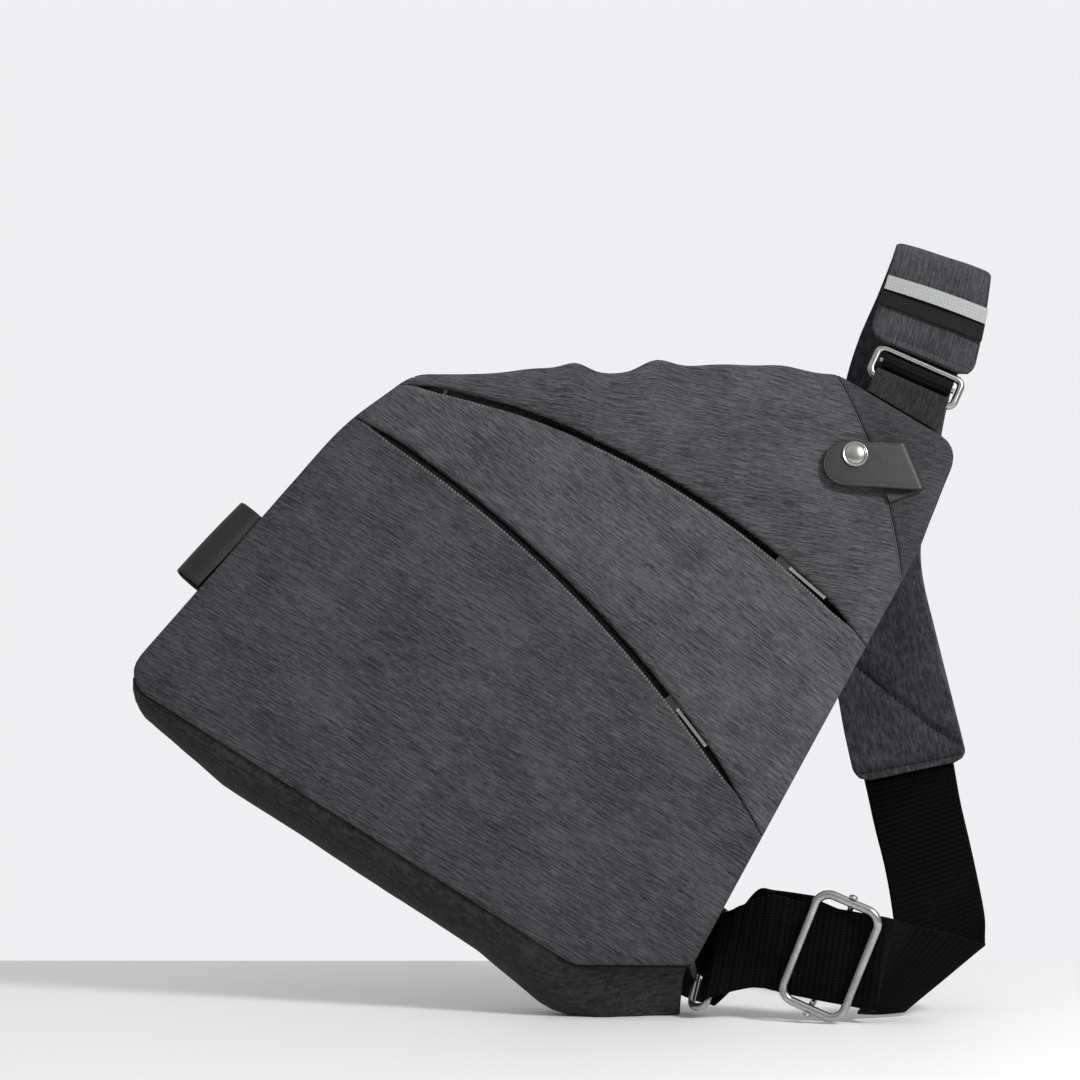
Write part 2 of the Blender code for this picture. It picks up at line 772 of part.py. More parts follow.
def zip_pull(prefix, pivot, metal):
    """Pull tab in its own frame, with its eye round the X axis and its length along Y."""
    eye = [(PULL_KNUCKLE * math.cos(math.radians(angle)),
            PULL_KNUCKLE * math.sin(math.radians(angle))) for angle in range(-45, -316, -30)]
    bar = [(PULL_LENGTH - 0.6, 0.5), (PULL_LENGTH, 0.0), (PULL_LENGTH - 0.6, -0.5)]
    half = PULL_WIDTH / 2.0
    solid = prism_solid(bar + eye, -half, half, (2, 0, 1))
    pull = add_object(prefix + "_zip_pull", *solid, pivot, metal)
    bore = prism_solid(circle_profile(0.48, 10), -2.0, 2.0, (2, 0, 1))
    apply_boolean(pull, hidden_operand(prefix + "_pull_bore", bore, pivot, metal), "DIFFERENCE")


def build_zip(bag, zipper, tape_start, materials):
    name = zipper["name"]
    first, last = zipper["chain"]
    sides = (("upper_side", 1, tape_start), ("lower_side", -1, first))
    facing_levels = (FACING_TOP, TAPE_TOP + TOUCH_GAP)
    for label, side, start in sides:
        tape = arc_strip(zipper, side, (COIL_INNER, COIL_INNER + TAPE_WIDTH),
                         (TAPE_TOP, TAPE_BOTTOM), (start, last))
        add_object(f"{name}_zip_tape_{label}", *tape, bag, materials["tape"])
        coil = arc_strip(zipper, side, (COIL_INNER, COIL_OUTER), (COIL_TOP, COIL_BOTTOM),
                         (first, last))
        add_object(f"{name}_zip_coil_{label}", *coil, bag, materials["coil"])
        facing = arc_strip(zipper, side, (FACING_INNER, FACING_OUTER), facing_levels,
                           (start, last))
        add_object(f"{name}_zip_facing_{label}", *facing, bag, materials["fabric"])
    stop_half = math.degrees(STOP_LENGTH / zipper["radius"]) / 2.0
    for label, angle in (("left", first + 0.6), ("right", last - 0.6)):
        stop = arc_strip(zipper, 1, (-2.4, 2.4), (COIL_TOP, COIL_BOTTOM),
                         (angle + stop_half, angle - stop_half))
        add_object(f"{name}_zip_stop_{label}", *stop, bag, materials["metal"])

    centre = bag_point(*zipper["centre"], 0.0)
    axis = new_empty(f"{name}_zip_axis", frame_matrix(centre, S_AXIS, T_AXIS), bag)
    place = zip_polar(zipper, zipper["parked"], zipper["radius"])
    inward = (np.array(zipper["centre"]) - place) / zipper["radius"]
    across = inward[0] * S_AXIS + inward[1] * T_AXIS
    along = np.cross(N_AXIS, across)
    slider_frame = new_empty(f"{name}_slider_frame",
                             frame_matrix(bag_point(*place, 0.0), across, along), axis)
    zip_slider(name, slider_frame, materials["metal"])
    hinge_point = bag_point(*place, PULL_LEVEL) + along * 2.5
    pull_axis = new_empty(f"{name}_pull_axis", frame_matrix(hinge_point, across, along),
                          slider_frame)
    zip_pull(name, pull_axis, materials["metal"])


# ---------------------------------------------------------------- snap tab

def snap_tab(bag, materials):
    """Leather tab that folds back over itself onto a snap on the upper panel."""
    top = np.array(FOLD_TOP)
    bottom = np.array(FOLD_BOTTOM)
    fold_length = float(np.linalg.norm(top - bottom))
    hinge_2d = (top - bottom) / fold_length
    toward_snap = np.array((-hinge_2d[1], hinge_2d[0]))
    flap_top = FLAP_UNDERSIDE + TAB_LEATHER
    bend_outer = (flap_top - TOUCH_GAP) / 2.0
    bend_inner = bend_outer - TAB_LEATHER
    middle = (top + bottom) / 2.0 + toward_snap * bend_outer
    hinge_3d = hinge_2d[0] * S_AXIS + hinge_2d[1] * T_AXIS
    snap_3d = toward_snap[0] * S_AXIS + toward_snap[1] * T_AXIS
    frame = new_empty("snap_tab_hinge",
                      frame_matrix(bag_point(*middle, flap_top), hinge_3d, snap_3d), bag)

    def local(place):
        offset = np.array(place) - middle
        return float(offset.dot(hinge_2d)), float(offset.dot(toward_snap))

    bend_centre = -bend_outer
    base_low = -flap_top + TOUCH_GAP
    profile = [(TAB_BASE_LENGTH, base_low), (0.0, base_low)]
    profile += [(-bend_outer * math.sin(angle), bend_centre - bend_outer * math.cos(angle))
                for angle in np.linspace(0.3, math.pi - 0.3, 7)]
    profile += [(0.0, 0.0), (0.0, -TAB_LEATHER)]
    profile += [(-bend_inner * math.sin(angle), bend_centre + bend_inner * math.cos(angle))
                for angle in np.linspace(0.4, math.pi - 0.4, 5)]
    profile += [(0.0, base_low + TAB_LEATHER), (TAB_BASE_LENGTH, base_low + TAB_LEATHER)]
    solid = prism_solid(profile, -fold_length / 2.0, fold_length / 2.0, (2, 0, 1))
    add_object("snap_tab_base", *solid, frame, materials["leather"])

    direction = math.radians(TAB_DIRECTION_DEG)
    radius = TAB_WIDTH / 2.0 + 0.4
    outline = [local(bottom + toward_snap * (bend_outer + TOUCH_GAP))]
    outline += [local(TAB_END_CENTRE + radius * np.array((math.cos(angle), math.sin(angle))))
                for angle in direction + np.linspace(math.pi / 2.0, -math.pi / 2.0, 15)]
    outline += [local(top + toward_snap * (bend_outer + TOUCH_GAP))]
    add_object("snap_tab_flap", *prism_solid(outline, -TAB_LEATHER, 0.0), frame,
               materials["leather"])

    snap_x, snap_y = local(SNAP_CENTRE)
    cap = turned_solid([(0.0, 0.3), (CAP_RADIUS - 0.3, 0.3), (CAP_RADIUS, 0.7),
                        (CAP_RADIUS - 0.3, 1.2), (4.6, 1.8), (3.0, 2.3), (1.5, 2.55),
                        (0.0, 2.6)], 24)
    add_object("snap_cap", *moved(cap, (snap_x, snap_y, 0.0)), frame, materials["metal"], True)
    socket = turned_solid([(2.4, -4.1), (4.3, -4.1), (4.5, -3.6), (4.5, -1.9), (2.4, -1.9)], 20)
    add_object("snap_socket", *moved(socket, (snap_x, snap_y, 0.0)), frame,
               materials["metal"], True)
    stud = turned_solid([(0.0, 0.3), (4.2, 0.3), (4.4, 0.7), (4.2, 1.1), (1.7, 1.1), (1.6, 1.5),
                         (2.0, 2.0), (1.6, 2.6), (0.0, 2.8)], 20)
    add_object("snap_stud", *moved(stud, (*SNAP_CENTRE, 0.0)), bag, materials["metal"], True)


def side_loop(bag, leather):
    """Flat tube of leather on the left side wall, open at both ends."""
    start = np.array(FRONT_CORNERS[0][:2])
    end = np.array(FRONT_CORNERS[1][:2])
    edge = (end - start) / np.linalg.norm(end - start)
    outward = np.array((-edge[1], edge[0]))
    middle = start + edge * LOOP_PLACE + outward * (WALL_BULGE + TOUCH_GAP + 0.2)
    inner = LOOP_INSIDE
    outer = inner + LOOP_LEATHER
    bend = LOOP_REACH - outer
    profile = [(0.0, outer), (0.0, inner)]
    profile += [(bend + inner * math.cos(angle), inner * math.sin(angle))
                for angle in np.linspace(math.pi / 2.0, -math.pi / 2.0, 7)]
    profile += [(0.0, -inner), (0.0, -outer)]
    profile += [(bend + outer * math.cos(angle), outer * math.sin(angle))
                for angle in np.linspace(-math.pi / 2.0, math.pi / 2.0, 9)]
    across = outward[0] * S_AXIS + outward[1] * T_AXIS
    frame = new_empty("side_loop_frame",
                      frame_matrix(bag_point(*middle, LOOP_LEVEL), across, N_AXIS), bag)
    add_object("side_loop", *prism_solid(profile, -LOOP_HALF_LENGTH, LOOP_HALF_LENGTH), frame,
               leather)


# ---------------------------------------------------------------- straps

def smooth_line(points, steps):
    """Catmull-Rom line through points, with the given number of steps in each span."""
    points = np.array(points, dtype=float)
    if steps == 1:
        return points
    padded = np.vstack((2.0 * points[0] - points[1], points, 2.0 * points[-1] - points[-2]))
    line = []
    for index in range(len(points) - 1):
        a, b, c, d = padded[index:index + 4]
        for step in range(steps):
            u = step / steps
            line.append(0.5 * (2.0 * b + (c - a) * u + (2.0 * a - 5.0 * b + 4.0 * c - d) * u ** 2
                               + (3.0 * b - a - 3.0 * c + d) * u ** 3))
    line.append(points[-1])
    return np.array(line)


def band_solid(left, right, low, high, steps=3, span=None):
    """Strap between two edge lines, from offset low to offset high off its middle.

    Offsets count along across x along, so they are positive on the strap's outer side.
    span picks a stretch of stations, as fractions of the whole line.
    """
    left = smooth_line(left, steps)
    right = smooth_line(right, steps)
    along = np.gradient((left + right) / 2.0, axis=0)
    normal = np.cross(right - left, along)
    normal = normal / np.linalg.norm(normal, axis=1)[:, None]
    if span is not None:
        first = round(span[0] * (len(left) - 1))
        last = round(span[1] * (len(left) - 1)) + 1
        left, right, normal = left[first:last], right[first:last], normal[first:last]
    rows = len(left)
    outer = np.stack((left + normal * high, right + normal * high), axis=1).reshape(-1, 3)
    inner = np.stack((left + normal * low, right + normal * low), axis=1).reshape(-1, 3)
    return skin_solid(outer, inner, grid_faces(rows, 2))


# Edges of the shoulder pad, from the ring over the fold and down behind the bag
PAD_LEFT = (
    (150.0, 57.0, 303.0), (157.0, 61.0, 323.0), (162.8, 66.5, 340.0), (165.0, 74.0, 346.0),
    (164.0, 82.0, 341.0), (158.0, 87.0, 325.0), (149.0, 88.0, 304.0), (142.0, 88.0, 280.0),
    (136.0, 88.0, 240.0), (131.0, 88.0, 201.0), (135.8, 88.0, 164.0), (140.6, 87.0, 130.0),
    (145.2, 76.5, 98.0),
)
PAD_RIGHT = (
    (196.5, 53.5, 282.5), (202.5, 57.5, 306.0), (206.4, 63.0, 325.0), (208.0, 71.0, 331.0),
    (207.0, 79.5, 326.0), (201.0, 85.0, 308.0), (195.0, 86.0, 290.0), (189.0, 84.0, 270.0),
    (182.0, 78.0, 235.0), (175.0, 72.0, 203.0), (181.0, 69.0, 168.0), (189.0, 68.0, 135.0),
    (195.0, 66.0, 109.0),
)
# Lower webbing from the pad down to the diagonal fold on the floor and back to the adjuster
WEBBING_LEFT = (
    (150.0, 74.3, 94.0), (152.3, 62.5, 77.0), (154.5, 50.0, 62.0), (156.0, 38.0, 45.0),
    (157.0, 27.5, 24.0), (157.3, 20.0, 7.0), (157.8, 17.6, 2.2), (157.3, 15.4, 1.6),
    (147.0, 10.5, 1.4), (136.5, 4.5, 2.4),
)
WEBBING_RIGHT = (
    (189.0, 65.5, 104.5), (190.3, 58.0, 90.0), (192.2, 47.5, 74.5), (194.2, 36.5, 57.0),
    (195.3, 27.0, 42.5), (194.2, 20.0, 34.0), (193.6, 17.6, 31.4), (192.6, 15.4, 31.2),
    (180.0, 10.5, 35.5), (161.0, 3.5, 40.5),
)


def adjuster_axes():
    """Direction of the webbing at the adjuster and the axes of the skewed adjuster."""
    yaw = math.radians(14.0)
    flat = np.array((math.cos(yaw), -math.sin(yaw), 0.0))
    rise = np.array((0.0, 0.0, 1.0))
    webbing_tilt = math.radians(9.0)
    frame_tilt = math.radians(22.0)
    along = math.cos(webbing_tilt) * flat - math.sin(webbing_tilt) * rise
    across = math.sin(webbing_tilt) * flat + math.cos(webbing_tilt) * rise
    frame_x = math.cos(frame_tilt) * flat - math.sin(frame_tilt) * rise
    frame_y = math.sin(frame_tilt) * flat + math.cos(frame_tilt) * rise
    return along, across, frame_x, frame_y


def corner_ring_axes():
    long_axis = np.array((0.24, 0.35, 0.905))
    long_axis = long_axis / np.linalg.norm(long_axis)
    short_axis = np.array((0.62, -0.78, 0.0))
    short_axis = short_axis - long_axis * short_axis.dot(long_axis)
    short_axis = short_axis / np.linalg.norm(short_axis)
    return short_axis, long_axis


def shoulder_pad(stage, materials):
    half = PAD_THICKNESS / 2.0
    lining = 1.2
    parts = (
        ("shoulder_pad", -half, half, None, "fabric_fine"),
        ("shoulder_pad_lining", -half - TOUCH_GAP - lining, -half - TOUCH_GAP, None, "mesh"),
        ("elastic_band", half + TOUCH_GAP, half + TOUCH_GAP + 0.9, (2 / 36, 4 / 36), "elastic"),
        ("reflective_strip", half + 2 * TOUCH_GAP + 0.9, half + 2 * TOUCH_GAP + 1.3,
         (3 / 36, 4 / 36), "reflective"),
    )
    for name, low, high, span, material in parts:
        solid = band_solid(PAD_LEFT, PAD_RIGHT, low, high, 3, span)
        add_object(name, *solid, stage, materials[material])


def lower_webbing(stage, materials):
    along, across, _, _ = adjuster_axes()
    centre = np.array(ADJUSTER_CENTRE)
    half_width = WEBBING_WIDTH / 2.0
    left = list(WEBBING_LEFT)
    right = list(WEBBING_RIGHT)
    for distance in (22.0, 14.0, 0.0, -16.0, -31.0):
        middle = centre + along * distance
        left.append(tuple(middle - across * half_width))
        right.append(tuple(middle + across * half_width))
    short_axis, long_axis = corner_ring_axes()
    face = np.cross(short_axis, long_axis)
    bar = np.array(CORNER_RING_CENTRE) + short_axis * (CORNER_RING_SIZE[0] / 2.0
                                                       - CORNER_RING_WIRE)
    ring_half = RING_WEBBING_HALF_WIDTH
    front_end = bar + short_axis * 3.0 + face * RING_WEBBING_WRAP
    left.append(tuple(front_end - long_axis * ring_half))
    right.append(tuple(front_end + long_axis * ring_half))
    half = WEBBING / 2.0
    solid = band_solid(left, right, -half, half, 2)
    add_object("lower_webbing", *solid, stage, materials["webbing"])

    left = []
    right = []
    for angle in np.linspace(90.0, 270.0, 7):
        turn = math.radians(angle)
        middle = bar + RING_WEBBING_WRAP * (short_axis * math.cos(turn) + face * math.sin(turn))
        if angle == 90.0:
            middle = middle + short_axis * 2.5
        left.append(tuple(middle - long_axis * ring_half))
        right.append(tuple(middle + long_axis * ring_half))
    front = np.cross(along, across)
    for distance, depth, lift in ((-37.0, -8.8, 0.5), (-29.0, -8.6, 2.0), (-19.0, -8.6, 2.5)):
        middle = centre + along * distance + front * depth + across * lift
        left.append(tuple(middle - across * half_width))
        right.append(tuple(middle + across * half_width))
    solid = band_solid(left, right, -half, half, 1)
    add_object("return_webbing", *solid, stage, materials["webbing"])


# ---------------------------------------------------------------- hardware

def strap_adjuster(stage, materials):
    """Wire frame in front of the webbing with its bar, rivets and sewn loop behind it."""
    _, _, frame_x, frame_y = adjuster_axes()
    frame = new_empty("adjuster_frame_axis", frame_matrix(ADJUSTER_CENTRE, frame_x, frame_y),
                      stage)
    metal = materials["metal"]
    wire_ring("adjuster_frame", ADJUSTER_SIZE, ADJUSTER_WIRE, 6.0, frame, metal,
              lift=ADJUSTER_OFFSET)
    bar_radius = ADJUSTER_BAR_RADIUS
    post_top = ADJUSTER_OFFSET - ADJUSTER_WIRE - TOUCH_GAP
    inside = ADJUSTER_POST - bar_radius
    outside = ADJUSTER_POST + bar_radius
    bar_top = ADJUSTER_BAR_OFFSET + bar_radius
    bar_low = ADJUSTER_BAR_OFFSET - bar_radius
    profile = [(-outside, post_top), (-inside, post_top), (-inside, bar_top), (inside, bar_top),
               (inside, post_top), (outside, post_top), (outside, bar_low), (-outside, bar_low)]
    bar = prism_solid(profile, -bar_radius, bar_radius, (2, 0, 1))
    item = add_object("adjuster_bar", *bar, frame, metal)
    bevel = item.modifiers.new("rounded", "BEVEL")
    bevel.width = 0.6 * MM
    bevel.segments = 1
    reach = ADJUSTER_SIZE[1] / 2.0
    rivet = turned_solid([(0.0, 0.3), (1.9, 0.3), (2.0, 0.7), (1.4, 1.5), (0.0, 1.8)], 12)
    points, faces = rivet
    for label, sign in (("upper", 1.0), ("lower", -1.0)):
        turned = [(x, sign * (reach + z), ADJUSTER_OFFSET - sign * y) for x, y, z in points]
        add_object(f"adjuster_rivet_{label}", turned, faces, frame, metal, True)
    half = END_LOOP_HALF_WIDTH
    loop = turned_solid([(END_LOOP_INNER, -half), (END_LOOP_OUTER, -half),
                         (END_LOOP_OUTER, half), (END_LOOP_INNER, half)], 14)
    points, faces = loop
    points = [(x, z, ADJUSTER_BAR_OFFSET - y) for x, y, z in points]
    item = add_object("webbing_end_loop", points, faces, frame, materials["webbing"])
    tail = box_solid((-END_TAIL_LENGTH, -half, ADJUSTER_BAR_OFFSET - END_LOOP_OUTER + 0.1),
                     (-1.2, half, ADJUSTER_BAR_OFFSET - END_LOOP_INNER - 0.1))
    apply_boolean(item, hidden_operand("webbing_end_tail", tail, frame, metal), "UNION")


def top_ring(bag, materials):
    """Ring with its centre bar, the webbing rolled round the bar, and the tab that holds it."""
    turn = math.radians(TOP_RING_TURN_DEG)
    across = math.cos(turn) * S_AXIS + math.sin(turn) * T_AXIS
    upward = -math.sin(turn) * S_AXIS + math.cos(turn) * T_AXIS
    lower_bar = TOP_RING_SIZE[1] / 2.0 - TOP_RING_WIRE
    hinge = bag_point(*TOP_RING_CENTRE) - upward * lower_bar
    axis = new_empty("top_ring_axis", frame_matrix(hinge, across, upward), bag)
    centre = new_empty("top_ring_centre",
                       frame_matrix(bag_point(*TOP_RING_CENTRE), across, upward), axis)
    metal = materials["metal"]
    wire_ring("top_ring", TOP_RING_SIZE, TOP_RING_WIRE, 3.2, centre, metal)
    bar_place = (TOP_BAR_HEIGHT, 0.0)
    inner_half = TOP_RING_SIZE[0] / 2.0 - 2.0 * TOP_RING_WIRE - TOUCH_GAP
    bar = prism_solid(circle_profile(TOP_BAR_RADIUS, 10, bar_place), -inner_half, inner_half,
                      (2, 0, 1))
    add_object("top_ring_bar", *bar, centre, metal, True)
    roll = [(TOP_BAR_HEIGHT + ROLL_RADIUS * math.cos(angle), ROLL_RADIUS * math.sin(angle))
            for angle in np.radians(np.arange(-75.0, 196.0, 30.0))]
    roll += [(TOP_BAR_HEIGHT, -ROLL_RADIUS - 0.4), (15.0, -ROLL_RADIUS - 1.2),
             (15.0, -ROLL_RADIUS + 0.2)]
    item = add_object("ring_webbing_roll",
                      *prism_solid(roll, -ROLL_HALF_WIDTH, ROLL_HALF_WIDTH, (2, 0, 1)), centre,
                      materials["webbing"])
    bore = prism_solid(circle_profile(ROLL_BORE, 12, bar_place), -20.0, 20.0, (2, 0, 1))
    apply_boolean(item, hidden_operand("roll_bore", bore, centre, metal), "DIFFERENCE")

    half_tab = TOP_TAB_WIDTH / 2.0
    half = TOP_TAB_THICKNESS / 2.0
    wrap = TOP_RING_WIRE + 0.4 + half
    foot = FRONT_CORNERS[3][1] + WALL_BULGE + 0.6

    def station(place):
        """Both ends of one line across the tab; a height of None means the bag's top wall."""
        ends = []
        for x in (-half_tab, half_tab):
            height, depth = place
            if height is None:
                height = (foot - TOP_RING_CENTRE[1] - x * math.sin(turn)) / math.cos(turn)
                height += lower_bar
            ends.append((x, height, depth))
        return ends

    places = [(None, -wrap), (-3.0, -wrap)]
    places += [(wrap * math.sin(angle), -wrap * math.cos(angle))
               for angle in np.linspace(0.0, math.pi, 7)]
    places += [(-3.0, wrap), (None, wrap)]
    ends = [station(place) for place in places]
    solid = band_solid([end[0] for end in ends], [end[1] for end in ends], -half, half, 1)
    add_object("top_tab", *solid, axis, materials["fabric_fine"])


def corner_ring(stage, materials):
    """Ring at the lower corner and the short webbing tab that holds it."""
    short_axis, long_axis = corner_ring_axes()
    held_bar = CORNER_RING_SIZE[0] / 2.0 - CORNER_RING_WIRE
    hinge = np.array(CORNER_RING_CENTRE) - short_axis * held_bar
    axis = new_empty("corner_ring_axis", frame_matrix(hinge, short_axis, long_axis), stage)
    centre = new_empty("corner_ring_centre",
                       frame_matrix(CORNER_RING_CENTRE, short_axis, long_axis), axis)
    wire_ring("corner_ring", CORNER_RING_SIZE, CORNER_RING_WIRE, 3.6, centre,
              materials["metal"])
    wrap = CORNER_RING_WIRE + 0.4 + WEBBING / 2.0
    places = [(CORNER_TAB_REACH, wrap), (-2.0, wrap)]
    places += [(wrap * math.sin(angle), wrap * math.cos(angle))
               for angle in np.linspace(0.0, math.pi, 7)]
    places += [(-2.0, -wrap), (CORNER_TAB_REACH, -wrap)]
    lower = [(x, CORNER_TAB_RAISED - CORNER_TAB_HALF_WIDTH, z) for x, z in places]
    upper = [(x, CORNER_TAB_RAISED + CORNER_TAB_HALF_WIDTH, z) for x, z in places]
    half = WEBBING / 2.0
    add_object("corner_ring_tab", *band_solid(lower, upper, -half, half, 1), axis,
               materials["webbing"])


# ---------------------------------------------------------------- assembly

def make_materials():
    return {
        "fabric": make_material("charcoal_fabric", (0.060, 0.060, 0.066), 0.85),
        "fabric_fine": make_material("charcoal_fine_fabric", (0.055, 0.055, 0.060), 0.85),
        "gusset": make_material("dark_gusset_fabric", (0.030, 0.030, 0.033), 0.8),
        "mesh": make_material("black_spacer_mesh", (0.020, 0.020, 0.021), 0.9),
        "foam": make_material("grey_foam", (0.25, 0.25, 0.26), 0.95),
        "lining": make_material("grey_lining", (0.12, 0.12, 0.13), 0.7),
        "leather": make_material("dark_grey_leather", (0.060, 0.060, 0.062), 0.5),
        "webbing": make_material("black_webbing", (0.012, 0.012, 0.013), 0.55),
        "elastic": make_material("black_elastic", (0.015, 0.015, 0.016), 0.7),
        "reflective": make_material("reflective_tape", (0.35, 0.35, 0.36), 0.35),
        "tape": make_material("zip_tape", (0.010, 0.010, 0.011), 0.8),
        "coil": make_material("zip_coil", (0.012, 0.012, 0.013), 0.4),
        "metal": make_material("brushed_nickel", (0.55, 0.54, 0.52), 0.3, 1.0),
    }


def build_bag():
    materials = make_materials()
    stage = new_empty("stage", Matrix.Translation([value * MM for value in STAGE_SHIFT]))
    bag = new_empty("bag_frame", frame_matrix(BAG_ORIGIN, S_AXIS, T_AXIS), stage)
    front_panels(bag, materials["fabric"], materials["fabric_fine"])
    side_walls(bag, materials["fabric"], materials["gusset"])
    back_and_inside(bag, materials)
    build_zip(bag, UPPER_ZIP, 100.5, materials)
    build_zip(bag, LOWER_ZIP, LOWER_ZIP["chain"][0], materials)
    snap_tab(bag, materials)
    side_loop(bag, materials["leather"])
    top_ring(bag, materials)
    shoulder_pad(stage, materials)
    lower_webbing(stage, materials)
    strap_adjuster(stage, materials)
    corner_ring(stage, materials)


for old in list(bpy.data.objects):
    bpy.data.objects.remove(old)
build_bag()
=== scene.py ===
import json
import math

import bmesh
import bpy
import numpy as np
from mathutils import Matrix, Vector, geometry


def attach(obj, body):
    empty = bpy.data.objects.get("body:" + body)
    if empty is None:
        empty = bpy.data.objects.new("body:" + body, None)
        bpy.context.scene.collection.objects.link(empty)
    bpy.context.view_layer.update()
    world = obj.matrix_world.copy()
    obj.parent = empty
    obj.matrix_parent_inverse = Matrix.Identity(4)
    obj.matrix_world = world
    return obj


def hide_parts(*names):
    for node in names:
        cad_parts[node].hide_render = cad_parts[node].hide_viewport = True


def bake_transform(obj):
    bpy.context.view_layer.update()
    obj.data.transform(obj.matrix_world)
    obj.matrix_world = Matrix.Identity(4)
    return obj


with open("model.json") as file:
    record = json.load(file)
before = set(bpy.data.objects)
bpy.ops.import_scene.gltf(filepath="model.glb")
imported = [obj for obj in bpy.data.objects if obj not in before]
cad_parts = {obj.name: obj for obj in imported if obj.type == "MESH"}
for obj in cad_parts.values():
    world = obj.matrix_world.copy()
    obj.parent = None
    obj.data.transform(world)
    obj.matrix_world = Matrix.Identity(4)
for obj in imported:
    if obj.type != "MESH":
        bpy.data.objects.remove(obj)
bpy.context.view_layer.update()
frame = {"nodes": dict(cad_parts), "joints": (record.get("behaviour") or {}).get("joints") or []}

# Looks of a charcoal sling bag that stands on its lower right corner.
#
# Lengths are millimetres unless a name says otherwise, and MM scales them to metres.
# The bag has its own frame: s runs along its bottom edge, t up the bag and n out of the
# front. Straps and the lower hardware are given in the stage's frame.

MM = 0.001
GAP = 0.3                    # between pieces that rest against each other
STAGE_SHIFT = np.array((-14.0, -38.9, 0.0))

# How the bag stands
ROLL_DEG = 32.0
LEAN_DEG = 10.0

CREASE_DEG = 55.0            # edges bent more than this are drawn sharp

# Bag body
FABRIC = 1.5
LINING = 0.8
BACK_FOAM = 3.0
PAD_FOAM = 4.0
BASE_THICKNESS = 50.0        # at BASE_HEIGHT above the floor
TOP_THICKNESS = 16.0         # at TOP_HEIGHT above the floor
BASE_HEIGHT = 15.0
TOP_HEIGHT = 275.0
RIM_DROP = 4.0               # how far the front curves back at its rim
RIM_WIDTH = 12.0
LOWER_RIM_WIDTH = 27.0       # the roll above the bottom seam is wider
PUFF = 2.4                   # how far each panel swells between its seams
PUFF_REACH = 38.0            # from a seam to where the swelling is full
CALM_REACH = 14.0            # from a seam to where the creases are full
RIM_LEVEL = -RIM_DROP - 1.35  # height of the walls' front edge
PANEL_HEM = (1.3, 0.9)       # width and depth of the hem round each front panel
SLOT_ROLL = (4.2, 1.9)       # the same of the soft upper edge of a zip slot
CORNER_SEAM = ((194.5, 288.0), (267.7, 222.0))
CORNER_SEAM_BOW = 4.5
MESH_INSET = 22.0            # from the back's outline to the air mesh
MESH_CHANNELS = (70.0, 132.0, 194.0)
MESH_CHANNEL_SLOPE = 0.32
POCKET_CORNERS = ((70.0, 45.0), (70.0, 120.0), (190.0, 120.0), (190.0, 45.0))
DIVIDER_SHARE = 0.3          # of the way from the front's outline to the back's
DIVIDER_LEVEL = -8.6
DIVIDER_TAPER = 0.22

# Corners of the front outline and of the back panel: s, t, radius
FRONT_CORNERS = (
    (-1.5, 0.0, 12.0), (19.0, 150.0, 110.0), (33.0, 186.0, 20.0), (196.0, 288.0, 10.0),
    (259.0, 288.0, 10.0), (268.0, 236.0, 60.0), (277.5, 27.0, 6.0), (234.0, 0.0, 14.0),
)
BACK_CORNERS = (
    (-0.5, 0.0, 12.0), (20.0, 150.0, 110.0), (34.0, 185.5, 20.0), (196.5, 287.0, 10.0),
    (258.0, 287.0, 10.0), (266.0, 236.0, 60.0), (259.5, 16.0, 6.0), (232.0, 0.0, 14.0),
)
CORNER_STEPS = 6

# Humps of fabric along the shoulder edge: place along it, height, width
SHOULDER_HUMPS = ((58.0, 3.2, 18.0), (74.0, 4.2, 8.0), (110.0, 5.5, 10.0),
                  (140.0, 5.0, 28.0), (168.0, 2.5, 12.0))
HUMP_REACH = 16.0            # how far into the panel they fade

# Bulge of the bottom gusset below the front seam, at places along s
GUSSET_PLACES = (0.0, 14.0, 60.0, 195.0, 234.0, 250.0, 266.0, 273.0, 279.0)
GUSSET_BULGES = (0.5, 8.0, 14.5, 16.0, 21.0, 28.0, 28.0, 26.0, 24.0)
GUSSET_END_REACH = 9.0
GUSSET_END_BULGE = 22.5
WALL_BULGE = 1.5
SEAM_TUCK = 1.7              # how far its edge is turned in under the front
WALL_TUCK = 0.7              # the same at the other walls
BOTTOM_SHADOW_CORD = 0.6            # radius of the dark cord in the bottom seam, which paints a shadow line
BOTTOM_SHADOW_CORD_OUT = 0.35       # how far it stands out past the front's outline
CREASE_FROM = 226.0          # place along s where the gusset's crease leaves the front seam
CREASE_LENGTH = 44.0
CREASE_SHARE = 0.12          # its place across the gusset there, and how far it drifts
CREASE_DRIFT = 0.34
CREASE_POWER = 1.3
TUCK_FROM = 222.0            # place along s where the cloth starts to turn to the crease
TUCK_LENGTH = 18.0

# Zips: centre and radius of each slot's arc, then angles in degrees
UPPER_ZIP = {
    "name": "upper", "centre": (161.0, -151.6), "radius": 355.7,
    "slot": (110.5, 73.9), "chain": (107.6, 74.4), "tape_start": 100.5,
}
LOWER_ZIP = {
    "name": "lower", "centre": (15.8, -392.9), "radius": 548.0,
    "slot": (88.8, 64.1), "chain": (88.0, 64.6), "tape_start": 88.0,
}
SLOT_WIDTH = 3.5
SLOT_TAPER_DEG = 2.2
SEAM_GAP = 0.4
TAPE_WIDTH = 13.0
COIL_INNER = 0.8
COIL_OUTER = 3.0
SLOT_STITCH_PITCH = 1.7
SLOT_STITCH_SIZE = (0.75, 0.26, 0.24)
SLOT_STITCH_LEAN = 0.45      # both sideways and down into the slot
COIL_PITCH = 1.5
COIL_WIRE = 0.52             # half the thickness of one tooth
FACING_INNER = 5.2
FACING_OUTER = 14.0
FACING_TOP = -2.5
COIL_TOP = -3.7
COIL_BOTTOM = -5.4
TAPE_TOP = -5.7
TAPE_BOTTOM = -6.2

